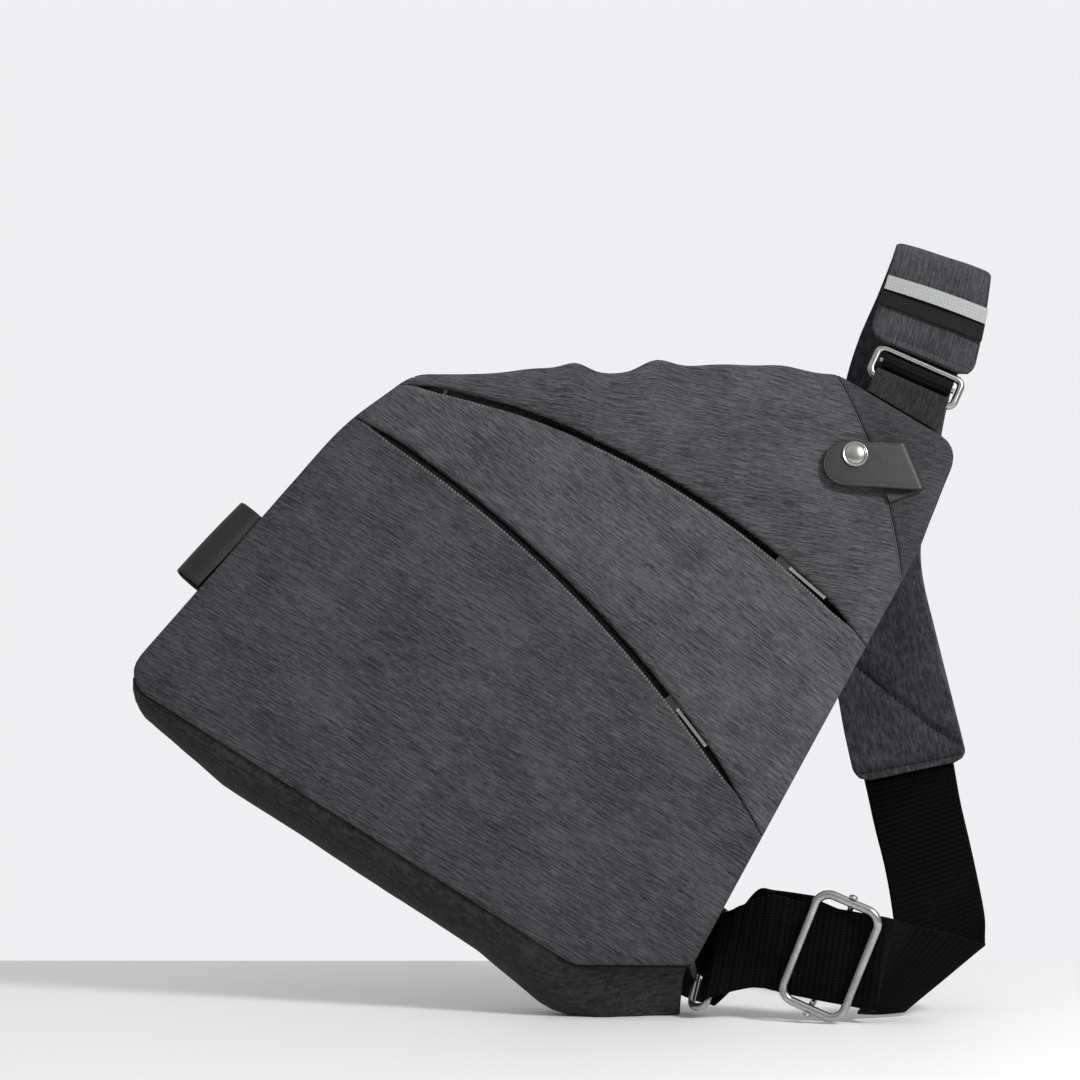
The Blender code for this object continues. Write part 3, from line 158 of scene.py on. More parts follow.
# Snap tab
FOLD_TOP = (238.0, 274.5)
FOLD_BOTTOM = (256.4, 260.4)
TAB_DIRECTION_DEG = 211.0
TAB_WIDTH = 20.0
TAB_LEATHER = 1.6
TAB_END_CENTRE = (221.0, 251.5)
TAB_BASE_LENGTH = 14.0
FLAP_UNDERSIDE = 4.0
SNAP_CENTRE = (222.0, 257.0)
SNAP_CAP_RADIUS = 5.8

# Leather loop on the left side wall
LOOP_PLACE = 74.0
LOOP_HALF_LENGTH = 21.5
LOOP_SWING_DEG = 8.0
LOOP_REACH = 12.4
LOOP_LEATHER = 1.4
LOOP_INSIDE = 3.3
LOOP_LEVEL = -13.0

# Ring at the top corner
TOP_RING_CENTRE = (226.7, 307.6, -10.0)
TOP_RING_TURN_DEG = 7.0
TOP_RING_SIZE = (44.0, 17.0)
TOP_RING_WIRE = 1.7
TOP_RING_CORNER = 3.2
TOP_BAR_HEIGHT = 1.0
TOP_BAR_RADIUS = 1.2
ROLL_HALF_WIDTH = 16.8
ROLL_RADIUS = 3.8
TOP_TAB_WIDTH = 35.6
TOP_TAB_THICKNESS = 1.6

# Strap
WEBBING_WIDTH = 40.0
WEBBING = 1.4
WEBBING_TUCK = 9.0
PAD_THICKNESS = 5.0
PAD_LINING = 1.2
PAD_CORNER = 6.5
UNDERSIDE_LEVEL = -PAD_THICKNESS / 2.0 - GAP - PAD_LINING / 2.0
PAD_HALF_WIDTH = WEBBING_WIDTH / 2.0 + 3.5
PAD_END_SEAM = 3.4           # from each end of the pad to the line sewn across it
SEAM_INSET = 9.0             # from the rear end to the foot of the diagonal seam
SEAM_SLOPE = 1.12
SEAM_LIFT = 1.9              # how far a seam draws the underside toward the foam
SEAM_PUCKER = 0.4
PUCKER_PITCH = 3.2
PAD_STITCH_PITCH = 2.6
UNDERSIDE_STITCH_PITCH = 1.7
ELASTIC_THICKNESS = 0.9
REFLECTIVE_THICKNESS = 0.4
CRINKLE = 0.55               # of the webbing between the adjuster and the corner ring
CRINKLE_PITCH = 5.5
WINDOW_HUMP = 0.85           # of the webbing inside the adjuster

# Adjuster and lower ring, in the stage's frame
WEBBING_YAW_DEG = 14.0
WEBBING_TILT_DEG = 9.0
ADJUSTER_TILT_DEG = 22.0
ADJUSTER_CENTRE = (124.3, -4.4, 28.6)
ADJUSTER_SIZE = (31.6, 52.4)
ADJUSTER_WIRE = 1.9
ADJUSTER_CORNER = 6.0
ADJUSTER_OFFSET = 3.8
ADJUSTER_BAR_OFFSET = -4.4
END_LOOP_INNER = 2.0
END_LOOP_OUTER = 3.2
END_LOOP_HALF_WIDTH = 18.5
END_TAIL_LENGTH = 17.0
CORNER_RING_CENTRE = (73.5, 17.0, 24.7)
CORNER_RING_SIZE = (13.0, 47.0)
CORNER_RING_WIRE = 1.6
CORNER_RING_CORNER = 3.6
CORNER_RING_LONG = (0.24, 0.35, 0.905)
CORNER_RING_SHORT = (0.62, -0.78, 0.0)
RING_WEBBING_HALF_WIDTH = 19.5
RING_WEBBING_WRAP = 3.7
RETURN_WRAP = 4.9            # behind the ring, where its bar swings back
CORNER_TAB_HALF_WIDTH = 12.0
CORNER_TAB_RAISED = 5.0
CORNER_TAB_REACH = -2.4

# Edges of the shoulder pad, from the ring over the fold and down behind the bag
PAD_LEFT = (
    (150.0, 57.0, 303.0), (157.0, 61.0, 323.0), (162.8, 66.5, 340.0), (165.0, 74.0, 346.0),
    (164.0, 82.0, 341.0), (158.0, 87.0, 325.0), (149.0, 88.0, 304.0), (142.0, 88.0, 280.0),
    (136.0, 88.0, 240.0), (131.0, 88.0, 201.0), (135.8, 88.0, 164.0), (140.6, 87.0, 130.0),
    (145.2, 76.5, 98.0),
)
PAD_RIGHT = (
    (196.5, 53.5, 282.5), (202.5, 57.5, 306.0), (206.4, 63.0, 325.0), (208.0, 71.0, 331.0),
    (207.0, 79.5, 326.0), (201.0, 85.0, 308.0), (195.0, 86.0, 290.0), (189.0, 84.0, 270.0),
    (182.0, 78.0, 235.0), (175.0, 72.0, 203.0), (181.0, 69.0, 168.0), (189.0, 68.0, 135.0),
    (195.0, 66.0, 109.0),
)
# Lower webbing from the pad to the diagonal fold on the floor and back to the adjuster
WEBBING_LEFT = (
    (150.0, 74.3, 94.0), (152.3, 62.5, 77.0), (154.5, 50.0, 62.0), (156.0, 38.0, 45.0),
    (157.0, 27.5, 24.0), (157.3, 20.0, 7.0), (157.8, 17.6, 2.2), (157.3, 15.4, 1.6),
    (147.0, 10.5, 1.4), (136.5, 4.5, 2.4),
)
WEBBING_RIGHT = (
    (189.0, 65.5, 104.5), (190.3, 58.0, 90.0), (192.2, 47.5, 74.5), (194.2, 36.5, 57.0),
    (195.3, 27.0, 42.5), (194.2, 20.0, 34.0), (193.6, 17.6, 31.4), (192.6, 15.4, 31.2),
    (180.0, 10.5, 35.5), (161.0, 3.5, 40.5),
)

# Camera, floor and lights, in metres
KEY_PLACE = (0.80, -0.82, 0.86)
KEY_SIZE = 0.3
KEY_POWER = 14.0
ROOM_LOW = 0.30
ROOM_HIGH = 0.78
BACKDROP_FROM = 0.80
BACKDROP_FULL = 0.93
FLOOR_EDGE = 0.19
FLOOR_REACH = (-6.0, 8.0)    # nearest edge and half its width
FLOOR_DROP = 0.0002
FLOOR_TONE = (0.86, 0.86, 0.865, 1.0)
BACKDROP_TONE = (0.865, 0.865, 0.88, 1.0)
CAMERA_PLACE = (-0.0140, -1.1389, 0.150)
CAMERA_PITCH_DEG = 2.92
CAMERA_LENS = 85.0
SENSOR_WIDTH = 36.0


# ---------------------------------------------------------------- frames

def unit(vector):
    vector = np.asarray(vector, dtype=float)
    return vector / np.linalg.norm(vector)


def units(vectors):
    """Rows of an array, each at length 1."""
    return vectors / np.linalg.norm(vectors, axis=1)[:, None]


def axes(origin, x_axis, y_axis):
    """Origin and three unit axes, right-handed; the second axis is squared to the first."""
    x_axis = unit(x_axis)
    y_axis = np.asarray(y_axis, dtype=float)
    y_axis = unit(y_axis - x_axis * x_axis.dot(y_axis))
    return np.asarray(origin, dtype=float), np.stack((x_axis, y_axis, np.cross(x_axis, y_axis)))


def placed(place, points):
    """Points of a frame, in the row frame."""
    origin, directions = place
    return origin + np.asarray(points, dtype=float) @ directions


def bag_frame():
    """Frame of the bag, found from the upper zip's joint."""
    joint = next(j for j in frame["joints"] if j["name"] == "upper_zip_travel")
    roll = math.radians(ROLL_DEG)
    lean = math.radians(LEAN_DEG)
    across = np.array((1.0, 0.0, 0.0))
    upward = np.array((0.0, math.sin(lean), math.cos(lean)))
    s_axis = math.cos(roll) * across - math.sin(roll) * upward
    t_axis = math.sin(roll) * across + math.cos(roll) * upward
    centre = UPPER_ZIP["centre"]
    origin = np.array(joint["pos_m"]) / MM - centre[0] * s_axis - centre[1] * t_axis
    return axes(origin, s_axis, t_axis)


BAG = bag_frame()
STAGE = axes(STAGE_SHIFT, (1.0, 0.0, 0.0), (0.0, 1.0, 0.0))


def bag_height(s, t, n=0.0):
    """Height above the floor of a place in the bag's frame."""
    origin, directions = BAG
    return origin[2] + s * directions[0][2] + t * directions[1][2] + n * directions[2][2]


# ---------------------------------------------------------------- 2-D shapes

def corner_directions(corners):
    """Each corner's place and radius, the ways to its neighbours and half its angle."""
    for index, (s, t, radius) in enumerate(corners):
        here = np.array((s, t))
        before = unit(np.array(corners[index - 1][:2]) - here)
        after = unit(np.array(corners[(index + 1) % len(corners)][:2]) - here)
        half = math.acos(np.clip(before.dot(after), -1.0, 1.0)) / 2.0
        yield here, radius, before, after, half


def rounded_outline(corners):
    """Closed outline through corners with fillets, and the index of each fillet's middle."""
    points = []
    middles = []
    for here, radius, before, after, half in corner_directions(corners):
        centre = here + unit(before + after) * radius / math.sin(half)
        start = here + before * radius / math.tan(half) - centre
        end = here + after * radius / math.tan(half) - centre
        first = math.atan2(start[1], start[0])
        sweep = (math.atan2(end[1], end[0]) - first + math.pi) % (2.0 * math.pi) - math.pi
        middles.append(len(points) + CORNER_STEPS // 2)
        for step in range(CORNER_STEPS + 1):
            angle = first + sweep * step / CORNER_STEPS
            points.append(centre + radius * np.array((math.cos(angle), math.sin(angle))))
    return np.array(points), middles


def inset_corners(corners, distance):
    """The same corners moved inwards, with each fillet that much tighter."""
    return [(*(here + unit(before + after) * distance / math.sin(half)),
             max(radius - distance, 3.0))
            for here, radius, before, after, half in corner_directions(corners)]


FRONT_OUTLINE, CORNER_MIDDLES = rounded_outline(FRONT_CORNERS)
BACK_OUTLINE, _ = rounded_outline(BACK_CORNERS)


def line_distance(line, points, closed=False):
    """Distance from each point to the nearest part of a line."""
    line = np.asarray(line)
    start = line if closed else line[:-1]
    end = np.roll(line, -1, axis=0) if closed else line[1:]
    span = end - start
    offset = np.asarray(points)[:, None, :] - start[None, :, :]
    along = (offset * span).sum(2) / np.maximum((span ** 2).sum(1), 1e-9)
    nearest = offset - span * np.clip(along, 0.0, 1.0)[:, :, None]
    return np.sqrt((nearest ** 2).sum(2)).min(1)


def inside(outline, points):
    """True for each point that lies inside a closed outline."""
    after = np.roll(outline, -1, axis=0)
    x, y = points[:, 0][:, None], points[:, 1][:, None]
    crosses = (outline[:, 1] > y) != (after[:, 1] > y)
    rise = np.where(after[:, 1] == outline[:, 1], 1e-9, after[:, 1] - outline[:, 1])
    reach = outline[:, 0] + (y - outline[:, 1]) / rise * (after[:, 0] - outline[:, 0])
    return ((crosses & (x < reach)).sum(1) % 2).astype(bool)


def split_outline(outline, cut):
    """Split a closed outline by an open line: the part on its left and that on its right."""
    crossings = []
    count = len(outline)
    for i in range(count):
        p = outline[i]
        r = outline[(i + 1) % count] - p
        for j in range(len(cut) - 1):
            q = cut[j]
            d = cut[j + 1] - q
            cross = r[0] * d[1] - r[1] * d[0]
            if abs(cross) < 1e-12:
                continue
            u = ((q - p)[0] * d[1] - (q - p)[1] * d[0]) / cross
            v = ((q - p)[0] * r[1] - (q - p)[1] * r[0]) / cross
            if 0.0 <= u < 1.0 and 0.0 <= v < 1.0:
                crossings.append((i, j, p + r * u))
    crossings.sort(key=lambda item: item[1])
    (i0, j0, x0), (i1, j1, x1) = crossings[0], crossings[-1]
    middle = [cut[j] for j in range(j0 + 1, j1 + 1)]

    def walk(first, last):
        found = []
        index = (first + 1) % count
        while True:
            found.append(outline[index])
            if index == last:
                return found
            index = (index + 1) % count

    forward = [x0] + middle + [x1] + walk(i1, i0)
    backward = [x1] + middle[::-1] + [x0] + walk(i0, i1)
    heading = x1 - x0
    centre = np.mean(forward, axis=0) - x0
    left_first = heading[0] * centre[1] - heading[1] * centre[0] > 0.0
    parts = (np.array(forward), np.array(backward))
    return parts if left_first else parts[::-1]


def resampled(line, step, closed=False):
    """The same line with extra points, so that no gap is longer than step."""
    ends = np.vstack((line, line[:1])) if closed else np.asarray(line)
    points = []
    for start, end in zip(ends, ends[1:]):
        gap = np.linalg.norm(end - start)
        if gap < 1e-6:
            continue
        pieces = max(1, math.ceil(gap / step))
        points += [start + (end - start) * piece / pieces for piece in range(pieces)]
    if not closed:
        points.append(ends[-1])
    return np.array(points)


def ripples(x, y, wavelength, seed):
    """Smooth pattern of random waves, about -1 to 1, the same on each run."""
    random = np.random.default_rng(seed)
    waves = 7
    total = 0.0
    for _ in range(waves):
        angle = random.uniform(0.0, 2.0 * math.pi)
        length = wavelength * random.uniform(0.7, 1.5)
        phase = random.uniform(0.0, 2.0 * math.pi)
        along = x * math.cos(angle) + y * math.sin(angle)
        total = total + np.sin(2.0 * math.pi * along / length + phase)
    return total / math.sqrt(waves)


def eased(value):
    """0 to 1 with a soft start and end."""
    value = np.clip(value, 0.0, 1.0)
    return value * value * (3.0 - 2.0 * value)


def quarter_round(distance, radius, depth):
    """How far an edge rolls down at a distance from it."""
    share = np.clip(distance / radius, 0.0, 1.0)
    return depth * (1.0 - np.sqrt(np.clip(1.0 - (1.0 - share) ** 2, 0.0, 1.0)))


# ---------------------------------------------------------------- meshes

def add_piece(name, points, faces, material, body, replaces=(), cloth=None, slot=None):
    """Add a closed mesh given in the row frame in millimetres."""
    mesh = bpy.data.meshes.new(name)
    mesh.from_pydata((np.asarray(points) * MM).tolist(), [], [tuple(f) for f in faces])
    shape = bmesh.new()
    shape.from_mesh(mesh)
    bmesh.ops.recalc_face_normals(shape, faces=shape.faces)
    shape.to_mesh(mesh)
    shape.free()
    mesh.shade_smooth()
    mesh.set_sharp_from_angle(angle=math.radians(CREASE_DEG))
    if cloth is not None:
        layer = mesh.attributes.new("cloth", "FLOAT_VECTOR", "POINT")
        layer.data.foreach_set("vector", np.asarray(cloth, dtype=np.float32).ravel())
    mesh.materials.append(material)
    item = bpy.data.objects.new(name, mesh)
    bpy.context.scene.collection.objects.link(item)
    if body is not None:
        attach(item, body)
    if replaces:
        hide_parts(*replaces)
    return item


def skin(outer, inner, faces):
    """Close the space between two point lists that share one face layout."""
    count = len(outer)
    points = np.vstack((outer, inner))
    solid = [tuple(face) for face in faces]
    solid += [tuple(index + count for index in reversed(face)) for face in faces]
    used = set()
    for face in faces:
        face = tuple(face)
        used.update(zip(face, face[1:] + face[:1]))
    for start, end in used:
        if (end, start) not in used:
            solid.append((end, start, start + count, end + count))
    return points, solid


def grid_faces(rows, columns):
    corners = [row * columns + column for row in range(rows - 1) for column in range(columns - 1)]
    return [(c, c + 1, c + columns + 1, c + columns) for c in corners]


def filled_outline(outline, cell, rings):
    """Triangles over an outline, with rows of points next to its edge."""
    edge = resampled(outline, min(2.5, cell), closed=True)
    tangent = units(np.roll(edge, -1, axis=0) - np.roll(edge, 1, axis=0))
    after = np.roll(edge, -1, axis=0)
    turning = (edge[:, 0] * after[:, 1] - after[:, 0] * edge[:, 1]).sum()
    inward = np.stack((-tangent[:, 1], tangent[:, 0]), axis=1) * math.copysign(1.0, turning)
    places = [edge]
    for depth in rings:
        ring = edge + inward * depth
        keep = inside(edge, ring) & (line_distance(edge, ring, True) > 0.93 * depth)
        places.append(ring[keep])
    low, high = edge.min(0), edge.max(0)
    rows = np.arange(low[1], high[1], cell * 0.866)
    grid = [(s + (index % 2) * cell / 2.0, t)
            for index, t in enumerate(rows) for s in np.arange(low[0], high[0], cell)]
    grid = np.array(grid)
    grid = grid[inside(edge, grid)]
    grid = grid[line_distance(edge, grid, True) > rings[-1] + 0.55 * cell]
    places.append(grid)
    flat = [Vector(place) for place in np.vstack(places)]
    found = geometry.delaunay_2d_cdt(flat, [], [list(range(len(edge)))], 1, 1e-5)
    return np.array([tuple(v) for v in found[0]]), [tuple(face) for face in found[2]]


def turned_coordinates(flat, angle_deg):
    """Places along and across threads that run at an angle to the s axis."""
    angle = math.radians(angle_deg)
    along = flat[:, 0] * math.cos(angle) + flat[:, 1] * math.sin(angle)
    across = -flat[:, 0] * math.sin(angle) + flat[:, 1] * math.cos(angle)
    return along, across


def panel(name, outline, outer_level, thickness, material, body, replaces=(), slot=None,
          cell=4.0, rings=(0.35, 0.9, 1.8, 3.2), threads_deg=0.0, shift=None):
    """Closed sheet over an outline; thickness is negative where it faces the back."""
    flat, faces = filled_outline(outline, cell, rings)
    level = outer_level(flat)
    moved = flat if shift is None else flat + shift(flat)
    outer = np.column_stack((moved, level))
    inner = np.column_stack((moved, level - thickness))
    points, solid = skin(outer, inner, faces)
    along, across = turned_coordinates(flat, threads_deg)
    side = np.zeros(len(flat))
    cloth = np.vstack((np.column_stack((along, across, side)),
                       np.column_stack((along, across, side + thickness))))
    return add_piece(name, placed(BAG, points), solid, material, body, replaces, cloth, slot)


def smooth_line(points, steps):
    """Catmull-Rom line through points, with the given number of steps in each span."""
    points = np.array(points, dtype=float)
    padded = np.vstack((2.0 * points[0] - points[1], points, 2.0 * points[-1] - points[-2]))
    line = []
    for index in range(len(points) - 1):
        a, b, c, d = padded[index:index + 4]
        for step in range(steps):
            u = step / steps
            line.append(0.5 * (2.0 * b + (c - a) * u + (2.0 * a - 5.0 * b + 4.0 * c - d) * u ** 2
                               + (3.0 * b - a - 3.0 * c + d) * u ** 3))
    line.append(points[-1])
    return np.array(line)


def lengths_along(line):
    gaps = np.linalg.norm(np.diff(line, axis=0), axis=1)
    return np.concatenate(((0.0,), np.cumsum(gaps)))


def at_lengths(line, lengths, places):
    return np.column_stack([np.interp(places, lengths, column) for column in line.T])


def strap_edges(left, right, step, smooth=12):
    """Both edge lines of a strap at even places along its middle."""
    left = smooth_line(left, smooth)
    right = smooth_line(right, smooth)
    lengths = lengths_along((left + right) / 2.0)
    places = np.linspace(0.0, lengths[-1], max(4, round(lengths[-1] / step) + 1))
    return at_lengths(left, lengths, places), at_lengths(right, lengths, places)


def strap_normals(left, right):
    along = np.gradient((left + right) / 2.0, axis=0)
    return units(np.cross(right - left, along))


def strap_solid(left, right, thickness, columns=18, edge=None, offset=0.0, rise=None,
                swell=None, normals=None):
    """Closed strap with rounded edges between two edge lines.

    rise(along, across) lifts its middle and swell(along, across) scales its thickness.
    """
    edge = thickness / 2.0 if edge is None else edge
    normal = strap_normals(left, right) if normals is None else normals
    width = np.linalg.norm(right - left, axis=1)
    lengths = lengths_along((left + right) / 2.0)
    shares = (1.0 - np.cos(np.linspace(0.0, math.pi, columns))) / 2.0
    across = (shares[None, :] - 0.5) * width[:, None]
    along = np.repeat(lengths[:, None], columns, axis=1)
    from_edge = width[:, None] / 2.0 - np.abs(across)
    rounding = np.sqrt(np.clip(1.0 - (1.0 - np.clip(from_edge / edge, 0.0, 1.0)) ** 2, 0.0, 1.0))
    half = thickness / 2.0 * (0.22 + 0.78 * rounding)
    if swell is not None:
        half = half * swell(along, across)
    lift = np.full_like(half, offset)
    if rise is not None:
        lift = lift + rise(along, across)
    centre = left[:, None] + (right - left)[:, None] * shares[None, :, None]
    centre = centre + normal[:, None] * lift[:, :, None]
    outer = centre + normal[:, None] * half[:, :, None]
    inner = centre - normal[:, None] * half[:, :, None]
    points, faces = skin(outer.reshape(-1, 3), inner.reshape(-1, 3),
                         grid_faces(len(left), columns))
    cloth = np.stack((along, across, np.zeros_like(along)), axis=2).reshape(-1, 3)
    return points, faces, np.vstack((cloth, cloth + (0.0, 0.0, thickness)))


def add_strap(name, left, right, thickness, material, body, replaces=(), slot=None,
              place=STAGE, **shape):
    points, faces, cloth = strap_solid(left, right, thickness, **shape)
    return add_piece(name, placed(place, points), faces, material, body, replaces, cloth, slot)


def circle_angles(sides):
    return np.linspace(0.0, 2.0 * math.pi, sides, endpoint=False)


def wrapped_faces(rows, sides, closed=False):
    """Faces between rings of points; a closed stack joins its last ring to its first."""
    faces = []
    for row in range(rows if closed else rows - 1):
        low, high = row * sides, (row + 1) % rows * sides
        for column in range(sides):
            after = (column + 1) % sides
            faces.append((low + column, low + after, high + after, high + column))
    return faces


def with_poles(rings, low, high, sides):
    """Close a stack of rings with a fan to one point at each end."""
    points = np.vstack((low, rings, high))
    last = len(points) - 1
    faces = [tuple(index + 1 for index in face)
             for face in wrapped_faces(len(rings) // sides, sides)]
    for column in range(sides):
        after = (column + 1) % sides
        faces.append((0, 1 + after, 1 + column))
        faces.append((last, last - sides + column, last - sides + after))
    return points, faces


def tube_solid(path, radius, sides=8):
    """Closed round tube along a line."""
    tangent = units(np.gradient(path, axis=0))
    side = np.cross(tangent[0], (0.3, 0.5, 0.8))
    angles = circle_angles(sides)
    rings = []
    for here, heading in zip(path, tangent):
        side = unit(side - heading * side.dot(heading))
        other = np.cross(heading, side)
        rings.append(here + radius * (np.cos(angles)[:, None] * side
                                      + np.sin(angles)[:, None] * other))
    faces = wrapped_faces(len(path), sides)
    faces.append(tuple(reversed(range(sides))))
    faces.append(tuple(range((len(path) - 1) * sides, len(path) * sides)))
    return np.vstack(rings), faces


def ring_solid(path, radius, sides=16):
    """Closed loop of round wire along a flat closed line."""
    tangent = units(np.roll(path, -1, axis=0) - np.roll(path, 1, axis=0))
    up = np.array((0.0, 0.0, 1.0))
    side = np.cross(tangent, up)
    angles = circle_angles(sides)
    points = (path[:, None] + radius * (np.cos(angles)[None, :, None] * side[:, None]
                                        + np.sin(angles)[None, :, None] * up))
    return points.reshape(-1, 3), wrapped_faces(len(path), sides, True)


def turned_rings(profile, sides):
    """Rings of points about Z, one for each (radius, height) pair."""
    return [(radius * math.cos(angle), radius * math.sin(angle), height)
            for radius, height in profile for angle in circle_angles(sides)]


def turned_solid(profile, sides):
    """Solid turned about Z from (radius, height) pairs, from its foot up to its top."""
    return with_poles(turned_rings(profile, sides), (0.0, 0.0, profile[0][1]),
                      (0.0, 0.0, profile[-1][1]), sides)


def tube_ring(inner, outer, low, high, sides=40):
    """Flat ring with a hole, softened at its outer edges."""
    section = [(inner, low), (outer - 0.3, low), (outer, low + 0.3), (outer, high - 0.3),
               (outer - 0.3, high), (inner, high)]
    return np.array(turned_rings(section, sides)), wrapped_faces(len(section), sides, True)


def rounded_step(radius, low, high, bulge):
    """Profile of a half-round rim between two heights."""
    middle = (low + high) / 2.0
    half = (high - low) / 2.0
    return [(radius - bulge + bulge * math.cos(turn), middle + half * math.sin(turn))
            for turn in np.linspace(-math.pi / 2.0, math.pi / 2.0, 9)]


def bead_template(half_sizes, rings=4, sides=8):
    """Ellipsoid with poles on its X axis."""
    sphere = [(-math.cos(turn), math.sin(turn) * math.cos(angle),
               math.sin(turn) * math.sin(angle))
              for turn in math.pi * np.arange(1, rings + 1) / (rings + 1)
              for angle in circle_angles(sides)]
    points, faces = with_poles(sphere, (-1.0, 0.0, 0.0), (1.0, 0.0, 0.0), sides)
    return points * half_sizes, faces


def repeated(template, centres, x_axes, z_axes):
    """Copies of a template, each turned to its own axes."""
    base, base_faces = template
    points = []
    faces = []
    for centre, x_axis, z_axis in zip(centres, x_axes, z_axes):
        x_axis = unit(x_axis)
        z_axis = unit(z_axis - x_axis * x_axis.dot(z_axis))
        turn = np.stack((x_axis, np.cross(z_axis, x_axis), z_axis))
        shift = len(points) * len(base)
        points.append(centre + base @ turn)
        faces += [tuple(index + shift for index in face) for face in base_faces]
    return np.vstack(points), faces


# ---------------------------------------------------------------- materials

def add_node(tree, kind, inputs=None, **settings):
    """Shader node with its settings and inputs; an input may be another node's output."""
    item = tree.nodes.new("ShaderNode" + kind)
    for key, value in settings.items():
        setattr(item, key, value)
    for key, value in (inputs or {}).items():
        if isinstance(value, bpy.types.NodeSocket):
            tree.links.new(value, item.inputs[key])
        else:
            item.inputs[key].default_value = value
    return item


def grey(level, blue=None):
    """Grey with its own blue value, for a cool tint."""
    return level, level, level if blue is None else blue


def new_material(name, roughness, metallic=0.0, sheen=0.0, specular=0.5):
    material = bpy.data.materials.new(name)
    material.use_nodes = True
    tree = material.node_tree
    shader = tree.nodes["Principled BSDF"]
    values = {"Roughness": roughness, "Metallic": metallic, "Sheen Weight": sheen,
              "Sheen Roughness": 0.6, "Specular IOR Level": specular}
    for key, value in values.items():
        shader.inputs[key].default_value = value
    return material, tree, shader


def cloth_coordinates(tree):
    """Millimetres along and across the threads, kept on each mesh."""
    return add_node(tree, "Attribute", attribute_name="cloth").outputs["Vector"]


def stretched(tree, vector, sizes):
    """Coordinates in which a pattern has the given size along each axis."""
    scale = tuple(1.0 / size for size in sizes)
    return add_node(tree, "VectorMath", {0: vector, 1: scale}, operation="MULTIPLY").outputs[0]


def noise(tree, vector, sizes, detail=2.0, roughness=0.55):
    inputs = {"Vector": stretched(tree, vector, sizes), "Scale": 1.0, "Detail": detail,
              "Roughness": roughness}
    return add_node(tree, "TexNoise", inputs).outputs["Fac"]


def cells(tree, vector, sizes, randomness=1.0, feature="F1"):
    inputs = {"Vector": stretched(tree, vector, sizes), "Scale": 1.0, "Randomness": randomness}
    return add_node(tree, "TexVoronoi", inputs, feature=feature).outputs["Distance"]


def math_node(tree, operation, first, second=0.0):
    return add_node(tree, "Math", {0: first, 1: second}, operation=operation).outputs[0]


def weighted(tree, *parts):
    """Sum of values, each times its weight."""
    total = None
    for value, weight in parts:
        term = value if weight == 1.0 else math_node(tree, "MULTIPLY", value, weight)
        total = term if total is None else math_node(tree, "ADD", total, term)
    return total


def sine_wave(tree, value, period):
    phase = math_node(tree, "MULTIPLY", value, 2.0 * math.pi / period)
    return math_node(tree, "SINE", phase)


def add_colour(tree, shader, value, low, high, dark, light):
    """Colour that runs between two greys as a value goes from low to high."""
    item = add_node(tree, "ValToRGB", {"Fac": value})
    stops = item.color_ramp.elements
    stops[0].position, stops[0].color = low, (*dark, 1.0)
    stops[1].position, stops[1].color = high, (*light, 1.0)
    tree.links.new(item.outputs["Color"], shader.inputs["Base Color"])


def add_roughness(tree, shader, value, low, high):
    item = add_node(tree, "MapRange", {"Value": value, "From Min": 0.3, "From Max": 0.7,
                                       "To Min": low, "To Max": high})
    tree.links.new(item.outputs[0], shader.inputs["Roughness"])


def add_bump(tree, shader, height, distance):
    bump = add_node(tree, "Bump", {"Height": height, "Distance": distance * MM,
                                   "Strength": 1.0})
    tree.links.new(bump.outputs[0], shader.inputs["Normal"])


def heather_fabric(name, dark, light, streak=(12.0, 0.6), fine=(2.8, 0.34), fleck=0.45,
                   bump=0.25, roughness=0.92):
    """Heathered weave: long soft streaks, short threads, pale flecks and slow mottling."""
    material, tree, shader = new_material(name, roughness, sheen=0.04, specular=0.14)
    vector = cloth_coordinates(tree)
    long_streaks = noise(tree, vector, (*streak, 6.0), 3.0, 0.6)
    short_threads = noise(tree, vector, (*fine, 3.0), 2.0, 0.6)
    mottling = noise(tree, vector, (38.0, 24.0, 30.0), 2.0, 0.5)
    flecks = noise(tree, vector, (streak[0] * 0.7, fine[1] * 1.2, 5.0), 1.0)
    pale = math_node(tree, "MAXIMUM", math_node(tree, "SUBTRACT", flecks, 0.6), 0.0)
    value = weighted(tree, (long_streaks, 0.5), (short_threads, 0.35), (mottling, 0.15),
                     (pale, fleck * 6.0))
    add_colour(tree, shader, value, 0.42, 0.61, dark, light)
    add_bump(tree, shader, weighted(tree, (short_threads, 1.0), (long_streaks, 0.6)), bump)
    return material


def ribbed_webbing(name, dark, light, pitch=1.25, dash=2.6, roughness=0.42, bump=0.22):
    """Satin webbing: ribs across the strap, broken into dashes, with a little fuzz."""
    material, tree, shader = new_material(name, roughness, specular=0.03)
    vector = cloth_coordinates(tree)
    parts = add_node(tree, "SeparateXYZ", {0: vector}).outputs
    ribs = sine_wave(tree, parts[1], pitch)
    phase = weighted(tree, (parts[0], 2.0 * math.pi / dash), (ribs, 1.1))
    dashes = math_node(tree, "SINE", phase)
    weave = math_node(tree, "ADD", weighted(tree, (ribs, 0.25), (dashes, 0.35)), 0.5)
    fuzz = noise(tree, vector, (1.4, 0.35, 1.0), 2.0, 0.6)
    wear = noise(tree, vector, (22.0, 9.0, 9.0))
    value = weighted(tree, (weave, 0.5), (fuzz, 0.35), (wear, 0.25))
    add_colour(tree, shader, value, 0.3, 0.85, dark, light)
    add_bump(tree, shader, weighted(tree, (weave, 1.0), (fuzz, 0.5)), bump)
    return material


